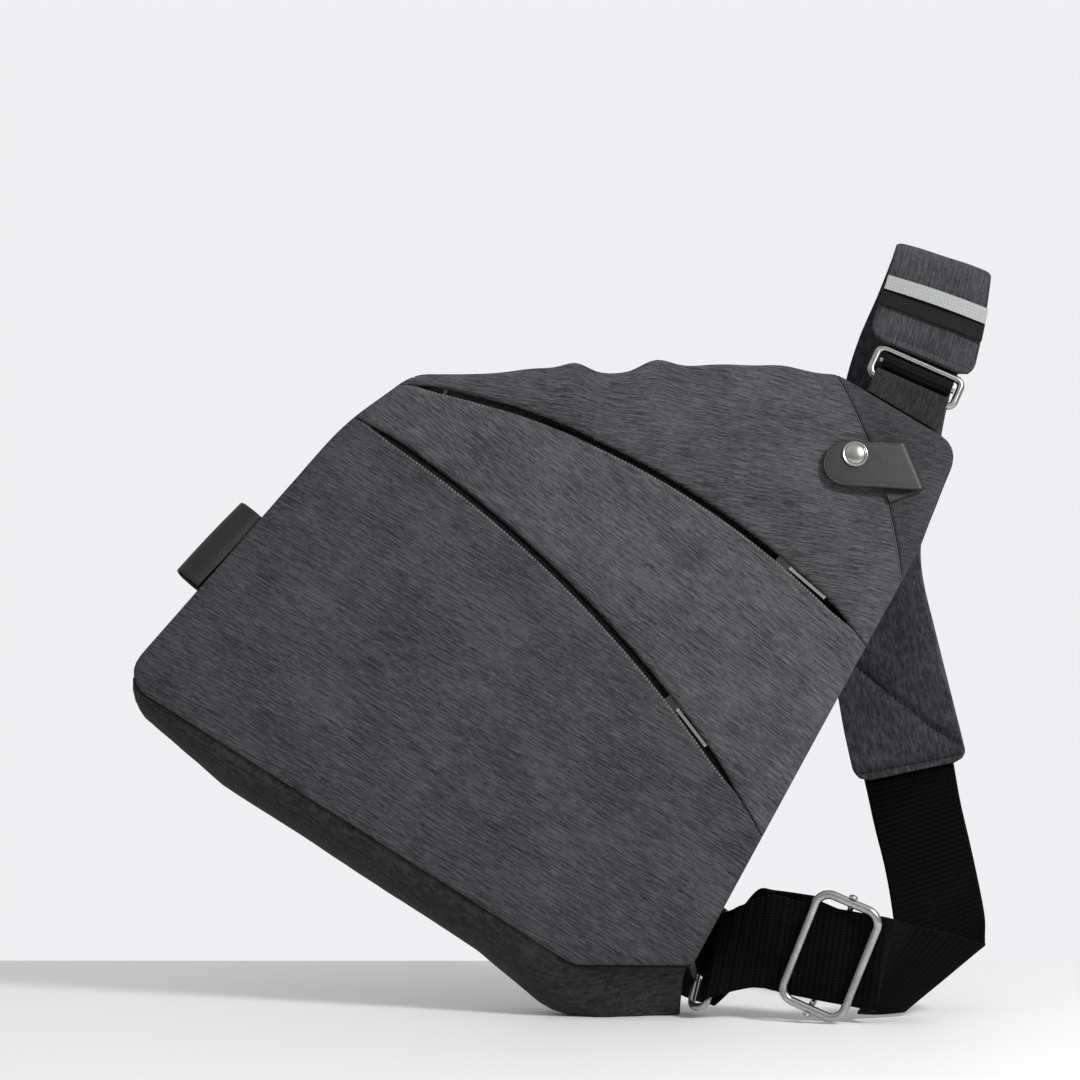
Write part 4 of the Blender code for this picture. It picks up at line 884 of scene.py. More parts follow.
def grained_leather(name, dark, light, roughness=0.48):
    """Leather: fine pebbled grain, soft mottling and a gloss that varies with the grain."""
    material, tree, shader = new_material(name, roughness, specular=0.4)
    vector = cloth_coordinates(tree)
    pebbles = cells(tree, vector, (0.8, 0.7, 0.8))
    fine = noise(tree, vector, (0.5, 0.5, 0.5), 3.0)
    mottling = noise(tree, vector, (7.0, 9.0, 8.0), 3.0)
    value = weighted(tree, (mottling, 0.6), (fine, 0.4))
    add_colour(tree, shader, value, 0.3, 0.7, dark, light)
    add_roughness(tree, shader, fine, roughness - 0.08, roughness + 0.1)
    add_bump(tree, shader, weighted(tree, (pebbles, 0.5), (fine, 1.0)), 0.06)
    return material


def spacer_mesh(name):
    """Knitted air mesh: rows of round holes in a dark net."""
    material, tree, shader = new_material(name, 0.85, specular=0.15)
    vector = cloth_coordinates(tree)
    holes = cells(tree, vector, (2.6, 2.2, 2.4), 0.22)
    threads = noise(tree, vector, (1.2, 0.3, 1.0))
    value = weighted(tree, (holes, 0.9), (threads, 0.25))
    add_colour(tree, shader, value, 0.28, 0.6, grey(0.004), grey(0.032, 0.034))
    add_bump(tree, shader, value, 0.7)
    return material


def plain_weave(name, dark, light, pitch=0.55, roughness=0.6, bump=0.12):
    """Close plain weave for linings, zip tape and elastic."""
    material, tree, shader = new_material(name, roughness, specular=0.18)
    vector = cloth_coordinates(tree)
    parts = add_node(tree, "SeparateXYZ", {0: vector}).outputs
    warp, weft = (sine_wave(tree, part, pitch) for part in (parts[0], parts[1]))
    weave = math_node(tree, "MULTIPLY", warp, weft)
    slubs = noise(tree, vector, (6.0, 0.8, 3.0))
    value = weighted(tree, (weave, 0.18), (slubs, 1.0))
    add_colour(tree, shader, value, 0.25, 0.75, dark, light)
    add_bump(tree, shader, value, bump)
    return material


def reflective_tape(name):
    """Silver tape with a fine honeycomb under its film."""
    material, tree, shader = new_material(name, 0.6, specular=0.3)
    vector = cloth_coordinates(tree)
    comb = cells(tree, vector, (1.5, 1.5, 1.5), 0.1, "DISTANCE_TO_EDGE")
    scuffs = noise(tree, vector, (3.0, 0.7, 2.0), 3.0)
    value = weighted(tree, (comb, 0.9), (scuffs, 0.5))
    add_colour(tree, shader, value, 0.2, 0.6, (0.26, 0.265, 0.265), (0.36, 0.365, 0.365))
    add_bump(tree, shader, value, 0.05)
    return material


def brushed_nickel(name, tone=1.0):
    """Nickel plate: a fine grain, faint smudges and small dents."""
    roughness = 0.24
    # A tone below 1 darkens the plate; it is used to paint shade onto the zip sliders and stops.
    dark = tuple(tone * value for value in (0.30, 0.295, 0.285))
    light = tuple(tone * value for value in (0.50, 0.49, 0.475))
    material, tree, shader = new_material(name, roughness, metallic=1.0)
    vector = add_node(tree, "TexCoord").outputs["Object"]
    fine = noise(tree, vector, (0.0016, 0.0016, 0.0016), 2.0, 0.5)
    smudge = noise(tree, vector, (0.007, 0.007, 0.007), 3.0)
    value = weighted(tree, (fine, 0.35), (smudge, 0.65))
    add_colour(tree, shader, value, 0.3, 0.7, dark, light)
    add_roughness(tree, shader, value, roughness + 0.1, roughness - 0.06)
    add_bump(tree, shader, fine, 0.008)
    return material


def grained_plastic(name, dark, light, roughness=0.4):
    """Nylon or thread with a slight variation in tone and a fine grain."""
    material, tree, shader = new_material(name, roughness)
    vector = add_node(tree, "TexCoord").outputs["Object"]
    add_colour(tree, shader, noise(tree, vector, (0.002, 0.002, 0.002), 3.0), 0.3, 0.7, dark,
               light)
    add_bump(tree, shader, noise(tree, vector, (0.0004, 0.0004, 0.0004)), 0.04)
    return material


def foam_material(name):
    material, tree, shader = new_material(name, 0.95, specular=0.2)
    bubbles = cells(tree, cloth_coordinates(tree), (0.7, 0.7, 0.7))
    add_colour(tree, shader, bubbles, 0.2, 0.7, grey(0.17), grey(0.27, 0.28))
    add_bump(tree, shader, bubbles, 0.2)
    return material


def make_materials():
    small = {"fine": (1.6, 0.5), "fleck": 0.1, "bump": 0.15}
    return {
        # The front panels are one cloth; the lower, middle and upper tones differ as painted light and
        # shade, the lower one darkest.
        "lower": heather_fabric("heather_lower_painted_shade", grey(0.017, 0.018), grey(0.083, 0.089)),
        "middle": heather_fabric("heather_middle_painted_light", grey(0.024, 0.025), grey(0.112, 0.119)),
        "upper": heather_fabric("heather_upper_painted_light", grey(0.023, 0.024), grey(0.100, 0.107)),
        "fine": heather_fabric("heather_fine", grey(0.021, 0.023), grey(0.060, 0.066),
                               streak=(7.0, 0.9), **small),
        "tab": heather_fabric("heather_tab", grey(0.010), grey(0.030), streak=(5.0, 0.9),
                              **small),
        "pad": heather_fabric("heather_pad", grey(0.022, 0.024), grey(0.068, 0.075),
                              streak=(9.0, 1.0), fine=(2.0, 0.5), fleck=0.15, bump=0.18),
        "underside": heather_fabric("heather_underside", grey(0.020, 0.022),
                                    grey(0.062, 0.068), streak=(5.0, 1.6), fine=(1.6, 0.7),
                                    fleck=0.05, bump=0.2),
        # The walls' cloth is dark, and is set darker still as painted shade for the shade under the
        # front's edge.
        "gusset": heather_fabric("gusset_fabric_painted_shade", grey(0.0095), grey(0.034, 0.036),
                                 streak=(6.0, 0.9), fine=(2.0, 0.6), fleck=0.1, bump=0.2,
                                 roughness=0.85),
        "facing": heather_fabric("facing_fabric", grey(0.005), grey(0.018, 0.019)),
        # Pale piping: a folded edge whose lighter tone is a painted highlight along the corner seam.
        "piping": heather_fabric("piping_fabric_painted_highlight", grey(0.045, 0.048), grey(0.11, 0.115),
                                 streak=(4.0, 0.5), fine=(1.5, 0.4)),
        "mesh": spacer_mesh("spacer_mesh"),
        "foam": foam_material("foam_cells"),
        "lining": plain_weave("lining_weave", grey(0.075, 0.08), grey(0.14, 0.15)),
        "elastic": plain_weave("elastic_knit", grey(0.002), grey(0.008), 0.9, 0.7, 0.25),
        "tape": plain_weave("zip_tape_weave", grey(0.002), grey(0.007), 0.7, 0.75),
        "leather": grained_leather("leather", grey(0.011), grey(0.024)),
        "loop_leather": grained_leather("loop_leather", grey(0.005), grey(0.011), 0.42),
        "webbing": ribbed_webbing("webbing_satin", grey(0.0003), grey(0.0048, 0.005),
                                  bump=0.16),
        "ring_webbing": ribbed_webbing("ring_webbing_satin", grey(0.0015), grey(0.012),
                                       pitch=1.0, dash=2.0, roughness=0.34),
        "reflective": reflective_tape("reflective_film"),
        "coil": grained_plastic("coil_nylon", grey(0.003), grey(0.009)),
        "thread": grained_plastic("pale_thread", grey(0.13, 0.135), grey(0.24, 0.25), 0.7),
        "dark_thread": grained_plastic("dark_thread", grey(0.025, 0.027), grey(0.05, 0.055),
                                       0.7),
        # Near-black thread, wider than real stitches: partly thread, partly painted shade of the pad's
        # seam groove.
        "seam_thread_painted_shade": grained_plastic("seam_thread_painted_shade", grey(0.003), grey(0.007), 0.8),
        "metal": brushed_nickel("nickel_brushed"),
        # Sliders and stops: nickel turned dark as painted shade, for how they look down in the slots.
        "painted_shade_metal": brushed_nickel("nickel_painted_shade", tone=0.22),
    }


# ---------------------------------------------------------------- bag shape

def zip_polar(zipper, angle_deg, radius):
    angle = np.radians(angle_deg)
    return np.stack((zipper["centre"][0] + radius * np.cos(angle),
                     zipper["centre"][1] + radius * np.sin(angle)), axis=-1)


def slot_half_width(zipper, angles):
    """Half the width of a slot at places along it; it closes to a seam at both ends."""
    start, end = zipper["slot"]
    within = np.minimum(start - angles, angles - end)
    opening = np.sin(np.clip(within / SLOT_TAPER_DEG, 0.0, 1.0) * math.pi / 2.0)
    return (SEAM_GAP + (SLOT_WIDTH - SEAM_GAP) * opening) / 2.0


def zip_edge(zipper, side, first=9.0, last=9.0, steps=150):
    """Line of one panel edge along a slot, carried on past the bag's outline."""
    start, end = zipper["slot"]
    angles = np.linspace(start + first, end - last, steps)
    return zip_polar(zipper, angles, zipper["radius"] + side * slot_half_width(zipper, angles))


def corner_seam(offset):
    """Seam between the upper panel and the top corner panel."""
    start, end = np.array(CORNER_SEAM)
    heading = unit(end - start)
    normal = np.array((heading[1], -heading[0]))
    points = []
    for share in np.linspace(-0.3, 1.3, 33):
        bow = -CORNER_SEAM_BOW * math.sin(math.pi * share) if 0.0 < share < 1.0 else 0.0
        points.append(start + (end - start) * share + normal * (bow + offset))
    return np.array(points)


def thickness_at(flat):
    height = bag_height(flat[:, 0], flat[:, 1])
    share = (height - BASE_HEIGHT) / (TOP_HEIGHT - BASE_HEIGHT)
    return BASE_THICKNESS + (TOP_THICKNESS - BASE_THICKNESS) * share


def seam_distance(flat):
    """Distance to the nearest zip slot or panel seam inside the front."""
    lines = [zip_edge(UPPER_ZIP, 1, 0.0, 0.0, 40), zip_edge(LOWER_ZIP, 1, 0.0, 0.0, 40),
             corner_seam(0.0)]
    return np.min([line_distance(line, flat) for line in lines], axis=0)


def front_surface(flat):
    """Outer face of the front before its hems: rim, puff and creases of the cloth."""
    from_rim = line_distance(FRONT_OUTLINE, flat, True)
    rim = RIM_DROP * (1.0 - np.clip(from_rim / RIM_WIDTH, 0.0, 1.0)) ** 2
    lower = RIM_DROP * (1.0 - np.clip(flat[:, 1] / LOWER_RIM_WIDTH, 0.0, 1.0)) ** 2
    from_seam = np.minimum(seam_distance(flat), from_rim)
    swell = PUFF * eased(from_seam / PUFF_REACH)
    calm = eased(from_seam / CALM_REACH)
    s, t = flat[:, 0], flat[:, 1]
    creases = 0.55 * ripples(s, t, 70.0, 11) + 0.3 * ripples(s * 0.6 + t, t - s * 0.4, 26.0, 12)
    return -np.maximum(rim, lower) + swell + calm * creases


def shoulder_line():
    return np.array(FRONT_CORNERS[2][:2]), np.array(FRONT_CORNERS[3][:2])


def hump_height(along):
    """How far the cloth stands out past the shoulder edge at places along it."""
    return sum(height * np.exp(-((along - place) / width) ** 2)
               for place, height, width in SHOULDER_HUMPS)


def shoulder_shift(strength=1.0):
    """Move of points near the shoulder edge, outwards over its humps."""
    start, end = shoulder_line()
    heading = unit(end - start)
    outward = np.array((-heading[1], heading[0]))
    length = np.linalg.norm(end - start)

    def shift(flat):
        along = (flat - start) @ heading
        depth = -(flat - start) @ outward
        fade = np.exp(-(np.clip(depth, 0.0, None) / HUMP_REACH) ** 1.5)
        ends = eased(along / 12.0) * eased((length - along) / 12.0)
        move = strength * hump_height(along) * fade * ends
        return move[:, None] * outward[None, :]

    return shift


def front_panels(materials):
    """Four outer panels with rolled edges along the zip slots and fine hems at the seams."""
    _, below_lower = split_outline(FRONT_OUTLINE, zip_edge(LOWER_ZIP, -1))
    above_lower, _ = split_outline(FRONT_OUTLINE, zip_edge(LOWER_ZIP, 1))
    _, middle = split_outline(above_lower, zip_edge(UPPER_ZIP, -1))
    above_upper, _ = split_outline(FRONT_OUTLINE, zip_edge(UPPER_ZIP, 1))
    _, upper = split_outline(above_upper, corner_seam(SEAM_GAP / 2.0))
    corner, _ = split_outline(above_upper, corner_seam(-SEAM_GAP / 2.0))
    soft_lines = {
        "front_upper_panel": zip_edge(UPPER_ZIP, 1, 0.5, 0.5),
        "front_middle_panel": zip_edge(LOWER_ZIP, 1, 0.5, 0.5),
    }

    def level_for(name, outline):
        def level(flat):
            surface = front_surface(flat)
            drop = quarter_round(line_distance(outline, flat, True), *PANEL_HEM)
            if name in soft_lines:
                roll = quarter_round(line_distance(soft_lines[name], flat), *SLOT_ROLL)
                drop = np.maximum(drop, roll)
            return surface - drop
        return level

    # The lower, middle and upper tones named here are painted light and shade on one cloth.
    panels = (
        ("front_lower_panel", below_lower, "lower", 0.0, "charcoal_fabric"),
        ("front_middle_panel", middle, "middle", -7.0, "charcoal_fabric"),
        ("front_upper_panel", upper, "upper", 20.0, "charcoal_fabric"),
        ("top_corner_panel", corner, "fine", 24.0, "charcoal_fine_fabric"),
    )
    for name, outline, material, threads, slot in panels:
        panel(name + "_cloth", outline, level_for(name, outline), FABRIC, materials[material],
              "bag", (name,), slot, threads_deg=threads, shift=shoulder_shift())


def wall_lines(first, last):
    """Matching front and back lines of one side wall, with the way out from each place."""
    count = len(FRONT_OUTLINE)
    indices = [CORNER_MIDDLES[first]]
    while indices[-1] != CORNER_MIDDLES[last]:
        indices.append((indices[-1] - 1) % count)
    front = FRONT_OUTLINE[indices]
    back = BACK_OUTLINE[indices]
    lengths = lengths_along(front)
    places = np.linspace(0.35, lengths[-1] - 0.35, max(8, round(lengths[-1] / 3.0)))
    front, back = at_lengths(front, lengths, places), at_lengths(back, lengths, places)
    tangent = units(np.gradient(front, axis=0))
    outward = np.stack((tangent[:, 1], -tangent[:, 0]), axis=1)
    return front, back, outward, places


def gusset_profile(s, shares):
    """Bulge of the bottom gusset from the front seam (share 0) to the back (share 1)."""
    full = np.interp(s, GUSSET_PLACES, GUSSET_BULGES)[:, None]
    round_form = np.sin(math.pi * shares[None, :]) ** 0.6
    # Toward the lower corner the cloth tucks in under the seam, up to a crease
    drift = np.clip((s - CREASE_FROM) / CREASE_LENGTH, 0.0, 1.0)[:, None]
    crease = CREASE_SHARE + CREASE_DRIFT * drift
    tucked = np.clip(shares[None, :] / crease, 0.0, 1.0) ** CREASE_POWER
    blend = eased((s[:, None] - TUCK_FROM) / TUCK_LENGTH)
    return full * round_form * (1.0 - blend + blend * tucked)


def lifted_to_floor(points, clearance):
    """Push points of the bag's frame straight up until they are above the floor."""
    up = np.array([direction[2] for direction in BAG[1]])
    height = bag_height(points[:, 0], points[:, 1], points[:, 2])
    return points + np.clip(clearance - height, 0.0, None)[:, None] * up


def side_walls(materials):
    walls = (
        ("bottom_gusset", 0, 6, 26), ("right_side_wall", 6, 4, 14),
        ("top_side_wall", 4, 3, 12), ("shoulder_side_wall", 3, 2, 14),
        ("left_side_wall", 2, 0, 14),
    )
    shift = shoulder_shift(0.8)
    for number, (name, first, last, rows) in enumerate(walls):
        front, back, outward, places = wall_lines(first, last)
        shares = (1.0 - np.cos(np.linspace(0.0, math.pi, rows))) / 2.0
        flat = front[:, None] + (back - front)[:, None] * shares[None, :, None]
        if name == "bottom_gusset":
            bulge = gusset_profile(front[:, 0], shares)
        else:
            full = np.full(len(places), WALL_BULGE)
            meeting = np.zeros(len(places))
            if name == "right_side_wall":
                meeting = GUSSET_END_BULGE * (1.0 - eased(places / GUSSET_END_REACH))
            crease = CREASE_SHARE + CREASE_DRIFT
            tucked = np.clip(shares / crease, 0.0, 1.0) ** CREASE_POWER
            bulge = full[:, None] + meeting[:, None] * tucked
            bulge = bulge * np.sin(math.pi * shares) ** 0.6
        along, depth = np.meshgrid(places, shares * 40.0, indexing="ij")
        quiet = np.sin(math.pi * shares)[None, :]
        wrinkle = quiet * (0.12 * ripples(along, depth, 55.0, 30 + number)
                           + 0.06 * ripples(along, depth, 14.0, 40 + number))
        bulge = bulge + wrinkle
        tuck_in = SEAM_TUCK if name == "bottom_gusset" else WALL_TUCK
        tuck_in = tuck_in * (1.0 - eased(shares / 0.06))[None, :]
        back_level = -thickness_at(back) + FABRIC + 2.0 * GAP
        level = RIM_LEVEL + (back_level[:, None] - RIM_LEVEL) * shares[None, :]
        surface = []
        for off, clearance in ((0.0, 0.0), (FABRIC, FABRIC)):
            place = flat + outward[:, None] * (bulge - tuck_in - off)[:, :, None]
            place = place.reshape(-1, 2)
            if name == "shoulder_side_wall":
                place = place + shift(flat.reshape(-1, 2))
            points = np.column_stack((place, level.reshape(-1)))
            surface.append(lifted_to_floor(points, clearance))
        points, faces = skin(surface[0], surface[1], grid_faces(len(front), rows))
        cloth = np.stack((along, depth, 0.0 * along), axis=2).reshape(-1, 3)
        # Every wall takes this cloth, darkened partly as painted shade.
        add_piece(name + "_cloth", placed(BAG, points), faces, materials["gusset"], "bag",
                  (name,), np.vstack((cloth, cloth + (0.0, 0.0, FABRIC))),
                  "dark_gusset_fabric")


def back_and_inside(materials):
    """Back panel, its air mesh, foam and linings."""
    def back(offset):
        return lambda flat: -thickness_at(flat) + offset

    def back_inset(distance):
        return rounded_outline(inset_corners(BACK_CORNERS, distance))[0]

    def back_skin(flat):
        hem = quarter_round(line_distance(BACK_OUTLINE, flat, True), 2.0, 0.8)
        waves = 0.25 * ripples(flat[:, 0], flat[:, 1], 50.0, 21)
        return -thickness_at(flat) + hem + waves

    # The back takes the lower panel's tone, which is set darker as painted shade.
    panel("back_panel_cloth", BACK_OUTLINE, back_skin, -FABRIC, materials["lower"], "bag",
          ("back_panel",), "charcoal_fabric", cell=5.0)

    pad_outline = back_inset(MESH_INSET)

    def pad_surface(flat):
        """Crowned air mesh with three sewn channels across it."""
        from_edge = line_distance(pad_outline, flat, True)
        crown = 1.6 * eased(from_edge / 30.0)
        hem = quarter_round(from_edge, 3.5, 2.6)
        channel = np.zeros(len(flat))
        for place in MESH_CHANNELS:
            gap = flat[:, 0] * MESH_CHANNEL_SLOPE + flat[:, 1] - place - 40.0
            channel = np.maximum(channel, np.exp(-(gap / 2.6) ** 2))
        channel = channel * eased(from_edge / 10.0)
        return -thickness_at(flat) - GAP - PAD_FOAM - crown + hem + 2.4 * channel

    def pad_underside(flat):
        return -thickness_at(flat) - GAP

    flat, faces = filled_outline(pad_outline, 3.0, (0.6, 1.6, 3.2))
    outer = np.column_stack((flat, pad_surface(flat)))
    inner = np.column_stack((flat, pad_underside(flat)))
    points, solid = skin(outer, inner, faces)
    cloth = np.column_stack((flat, np.zeros(len(flat))))
    mesh_pad = add_piece("back_mesh_pad_cloth", placed(BAG, points), solid, materials["mesh"],
                         "bag", ("back_mesh_pad",),
                         np.vstack((cloth, cloth + (0.0, 0.0, PAD_FOAM))), "black_spacer_mesh")

    foam_low = FABRIC + GAP
    foam_high = foam_low + BACK_FOAM
    foam = panel("back_foam_sheet", back_inset(3.5), back(foam_high), BACK_FOAM,
                 materials["foam"], "bag", ("back_foam",), "grey_foam", cell=9.0,
                 rings=(0.8, 3.0))

    def lining_sheet(node, outline, level, cell=9.0, margin=3.0):
        panel(node + "_cloth", outline, level, LINING, materials["lining"], "bag", (node,),
              "grey_lining", cell=cell, rings=(0.8, margin))

    lining_high = foam_high + GAP + LINING
    lining_sheet("back_lining", back_inset(4.0), back(lining_high))
    lining_sheet("inner_slip_pocket", np.array(POCKET_CORNERS),
                 back(lining_high + GAP + LINING), 7.0, 2.5)

    between = [tuple(a + (b - a) * DIVIDER_SHARE for a, b in zip(front, rear))
               for front, rear in zip(FRONT_CORNERS, BACK_CORNERS)]
    outline, _ = rounded_outline(inset_corners(between, 3.0))
    _, below_zip = split_outline(outline, zip_edge(UPPER_ZIP, -5))

    def divider_level(flat):
        return DIVIDER_LEVEL - DIVIDER_TAPER * (thickness_at(flat) - TOP_THICKNESS)

    lining_sheet("pocket_divider", below_zip, divider_level)


# ---------------------------------------------------------------- zips

def arc_strap(name, zipper, side, offsets, levels, angles, material, node, slot):
    """Strip of tape or cloth that follows one side of a slot, replacing a CAD strip."""
    length = math.radians(abs(angles[0] - angles[1])) * zipper["radius"]
    places = np.linspace(angles[0], angles[1], max(12, round(length / 2.5)))
    middle = (levels[0] + levels[1]) / 2.0
    edges = []
    for offset in offsets:
        flat = zip_polar(zipper, places, zipper["radius"] + side * offset)
        edges.append(np.column_stack((flat, np.full(len(flat), middle))))
    if side > 0:
        edges.reverse()
    normals = np.tile((0.0, 0.0, 1.0), (len(places), 1))
    return add_strap(name, edges[0], edges[1], abs(levels[0] - levels[1]), material, "bag",
                     (node,), slot, place=BAG, columns=8, normals=normals)


def beads_on_arc(name, template, angles, flat, level, lean, dip, material, **settings):
    """Beads along a slot, each pointing away from the arc's centre, leaning and dipping."""
    turned = np.radians(angles) + lean
    x_axes = np.column_stack((np.cos(turned), np.sin(turned), np.full(len(turned), -dip)))
    z_axes = np.tile((0.0, 0.0, 1.0), (len(turned), 1))
    centres = np.column_stack((flat, np.broadcast_to(level, len(flat))))
    points, faces = repeated(template, centres, x_axes, z_axes)
    add_piece(name, placed(BAG, points), faces, material, "bag", **settings)


def zip_teeth(zipper, side, materials):
    """Coil of one side of a zip: one rounded loop for each tooth."""
    name = zipper["name"]
    label = "upper_side" if side > 0 else "lower_side"
    pitch_deg = math.degrees(COIL_PITCH / zipper["radius"])
    first, last = zipper["chain"]
    angles = np.arange(first - 0.3 - (0.5 * pitch_deg if side > 0 else 0.0), last, -pitch_deg)
    reach = (COIL_OUTER - COIL_INNER) / 2.0
    flat = zip_polar(zipper, angles, zipper["radius"] + side * (COIL_INNER + reach))
    template = bead_template((reach, COIL_WIRE, (COIL_TOP - COIL_BOTTOM) / 2.0 - 0.05))
    beads_on_arc(f"{name}_zip_teeth_{label}", template, angles, flat,
                 (COIL_TOP + COIL_BOTTOM) / 2.0, 0.0, 0.0, materials["coil"],
                 replaces=(f"{name}_zip_coil_{label}",), slot="zip_coil")


def slot_stitches(zipper, materials):
    """Small pale stitches over the crisp lower edge of a slot."""
    start, end = zipper["slot"]
    pitch_deg = math.degrees(SLOT_STITCH_PITCH / zipper["radius"])
    angles = np.arange(start - 1.2, end + 0.8, -pitch_deg)
    flat = zip_polar(zipper, angles, zipper["radius"] - slot_half_width(zipper, angles) - 0.55)
    beads_on_arc(f"{zipper['name']}_slot_stitches", bead_template(SLOT_STITCH_SIZE, 3, 6),
                 angles, flat, front_surface(flat) - 0.32, SLOT_STITCH_LEAN,
                 SLOT_STITCH_LEAN, materials["thread"], slot="charcoal_fabric")


def zips(materials):
    for zipper in (UPPER_ZIP, LOWER_ZIP):
        name = zipper["name"]
        first, last = zipper["chain"]
        for side, label, start in ((1, "upper_side", zipper["tape_start"]),
                                   (-1, "lower_side", first)):
            arc_strap(f"{name}_zip_tape_{label}_cloth", zipper, side,
                      (COIL_INNER, COIL_INNER + TAPE_WIDTH), (TAPE_TOP, TAPE_BOTTOM),
                      (start, last), materials["tape"], f"{name}_zip_tape_{label}", "zip_tape")
            arc_strap(f"{name}_zip_facing_{label}_cloth", zipper, side,
                      (FACING_INNER, FACING_OUTER), (FACING_TOP - 0.2, TAPE_TOP + GAP),
                      (start, last), materials["facing"], f"{name}_zip_facing_{label}",
                      "charcoal_fabric")
            zip_teeth(zipper, side, materials)
        slot_stitches(zipper, materials)


# ---------------------------------------------------------------- snap tab and side loop

def snap_frame():
    """Frame of the snap tab's fold: X along it, Y toward the snap, Z out of the bag."""
    top = np.array(FOLD_TOP)
    bottom = np.array(FOLD_BOTTOM)
    along = unit(top - bottom)
    toward = np.array((-along[1], along[0]))
    flap_top = FLAP_UNDERSIDE + TAB_LEATHER
    bend = (flap_top - GAP) / 2.0
    middle = (top + bottom) / 2.0 + toward * bend
    origin = placed(BAG, (*middle, flap_top))
    s_axis, t_axis, _ = BAG[1]
    return (axes(origin, along[0] * s_axis + along[1] * t_axis,
                 toward[0] * s_axis + toward[1] * t_axis), middle, along, toward, bend)


def row_span(outline, y):
    """Lowest and highest x at which a closed outline crosses a line of constant y."""
    found = []
    for (x0, y0), (x1, y1) in zip(outline, np.roll(outline, -1, axis=0)):
        if (y0 - y) * (y1 - y) <= 0.0 and y0 != y1:
            found.append(x0 + (x1 - x0) * (y - y0) / (y1 - y0))
    return min(found), max(found)


def snap_tab(materials):
    """One leather strip: from under the fold, round it and over to the snap."""
    place, middle, along, toward, bend = snap_frame()
    half_fold = float(np.linalg.norm(np.subtract(FOLD_TOP, FOLD_BOTTOM))) / 2.0
    mid = bend - TAB_LEATHER / 2.0
    direction = math.radians(TAB_DIRECTION_DEG)
    radius = TAB_WIDTH / 2.0 + 0.4

    def local(points):
        offset = np.asarray(points) - middle
        return np.column_stack((offset @ along, offset @ toward))

    turns = direction + np.linspace(math.pi / 2.0, -math.pi / 2.0, 61)
    arc = np.array(TAB_END_CENTRE) + radius * np.column_stack((np.cos(turns), np.sin(turns)))
    corners = np.array((FOLD_BOTTOM, FOLD_TOP)) + toward * bend
    outline = local(np.vstack((corners[:1], arc, corners[1:])))
    reach = outline[:, 1].max()

    left, right, normals = [], [], []
    for y in np.linspace(TAB_BASE_LENGTH, 0.4, 10):
        left.append((half_fold, y, -bend - mid))
        right.append((-half_fold, y, -bend - mid))
        normals.append((0.0, 0.0, -1.0))
    for angle in np.linspace(0.0, math.pi, 15):
        y, z = -mid * math.sin(angle), -bend - mid * math.cos(angle)
        left.append((half_fold, y, z))
        right.append((-half_fold, y, z))
        normals.append((0.0, -math.sin(angle), -math.cos(angle)))
    flap = 0.6 + (reach - 0.62) * np.sin(np.linspace(0.0, math.pi / 2.0, 46))
    for y in flap:
        low, high = row_span(outline, y)
        lift = 0.35 * math.sin(math.pi * min(y / reach, 1.0))
        left.append((high, y, -TAB_LEATHER / 2.0 + lift))
        right.append((low, y, -TAB_LEATHER / 2.0 + lift))
        normals.append((0.0, 0.0, 1.0))
    left, right, normals = np.array(left), np.array(right), np.array(normals)

    def pressed_line(distance, across):
        """Shallow line pressed into the leather beside each long edge."""
        width = np.linalg.norm(right - left, axis=1)[:, None] / 2.0
        return -0.12 * np.exp(-((width - np.abs(across) - 1.5) / 0.35) ** 2)

    points, faces, cloth = strap_solid(left, right, TAB_LEATHER, columns=34, edge=0.75,
                                       rise=pressed_line, normals=normals)
    strip = add_piece("snap_tab_leather", placed(place, points), faces, materials["leather"],
                      None, ("snap_tab_base", "snap_tab_flap"), cloth, "dark_grey_leather")
    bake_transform(strip)


def side_loop(materials):
    """Soft tube of leather on the left side wall, open at both ends."""
    start = np.array(FRONT_CORNERS[0][:2])
    end = np.array(FRONT_CORNERS[1][:2])
    edge = unit(end - start)
    outward = np.array((-edge[1], edge[0]))
    middle = start + edge * LOOP_PLACE + outward * (WALL_BULGE + GAP + 0.2)
    s_axis, t_axis, n_axis = BAG[1]
    along = edge[0] * s_axis + edge[1] * t_axis
    swing = math.radians(LOOP_SWING_DEG)
    place = axes(placed(BAG, (*middle, LOOP_LEVEL)), outward[0] * s_axis + outward[1] * t_axis,
                 math.cos(swing) * n_axis + math.sin(swing) * along)
    mid = LOOP_INSIDE + LOOP_LEATHER / 2.0
    bend = LOOP_REACH - LOOP_INSIDE - LOOP_LEATHER
    flat = np.linspace(0.0, bend, 8)
    turns = np.linspace(math.pi / 2.0, -math.pi / 2.0, 19)
    profile = [(x - 0.4, mid + 0.5 * math.sin(math.pi * x / bend)) for x in flat[:-1]]
    profile += [(bend + mid * math.cos(turn), mid * math.sin(turn)) for turn in turns]
    profile += [(x - 0.4, -mid - 0.5 * math.sin(math.pi * x / bend)) for x in flat[-2::-1]]
    profile = np.array(profile)
    ones = np.full(len(profile), LOOP_HALF_LENGTH)
    left = np.column_stack((profile, -ones))
    right = np.column_stack((profile, ones))

    def sag(distance, across):
        return 0.35 * np.cos(across / LOOP_HALF_LENGTH * math.pi / 2.0)

    add_strap("side_loop_leather", left, right, LOOP_LEATHER, materials["loop_leather"], "bag",
              ("side_loop",), "dark_grey_leather", place=place, columns=30, edge=0.7, rise=sag)


# ---------------------------------------------------------------- straps

def pad_edges():
    left, right = strap_edges(PAD_LEFT, PAD_RIGHT, 1.6)
    lengths = lengths_along((left + right) / 2.0)
    from_end = np.minimum(lengths, lengths[-1] - lengths)
    tuck = PAD_CORNER - np.sqrt(np.clip(PAD_CORNER ** 2
                                        - np.clip(PAD_CORNER - from_end, 0.0, None) ** 2,
                                        0.0, None))
    across = units(right - left)
    return left + across * tuck[:, None], right - across * tuck[:, None], lengths


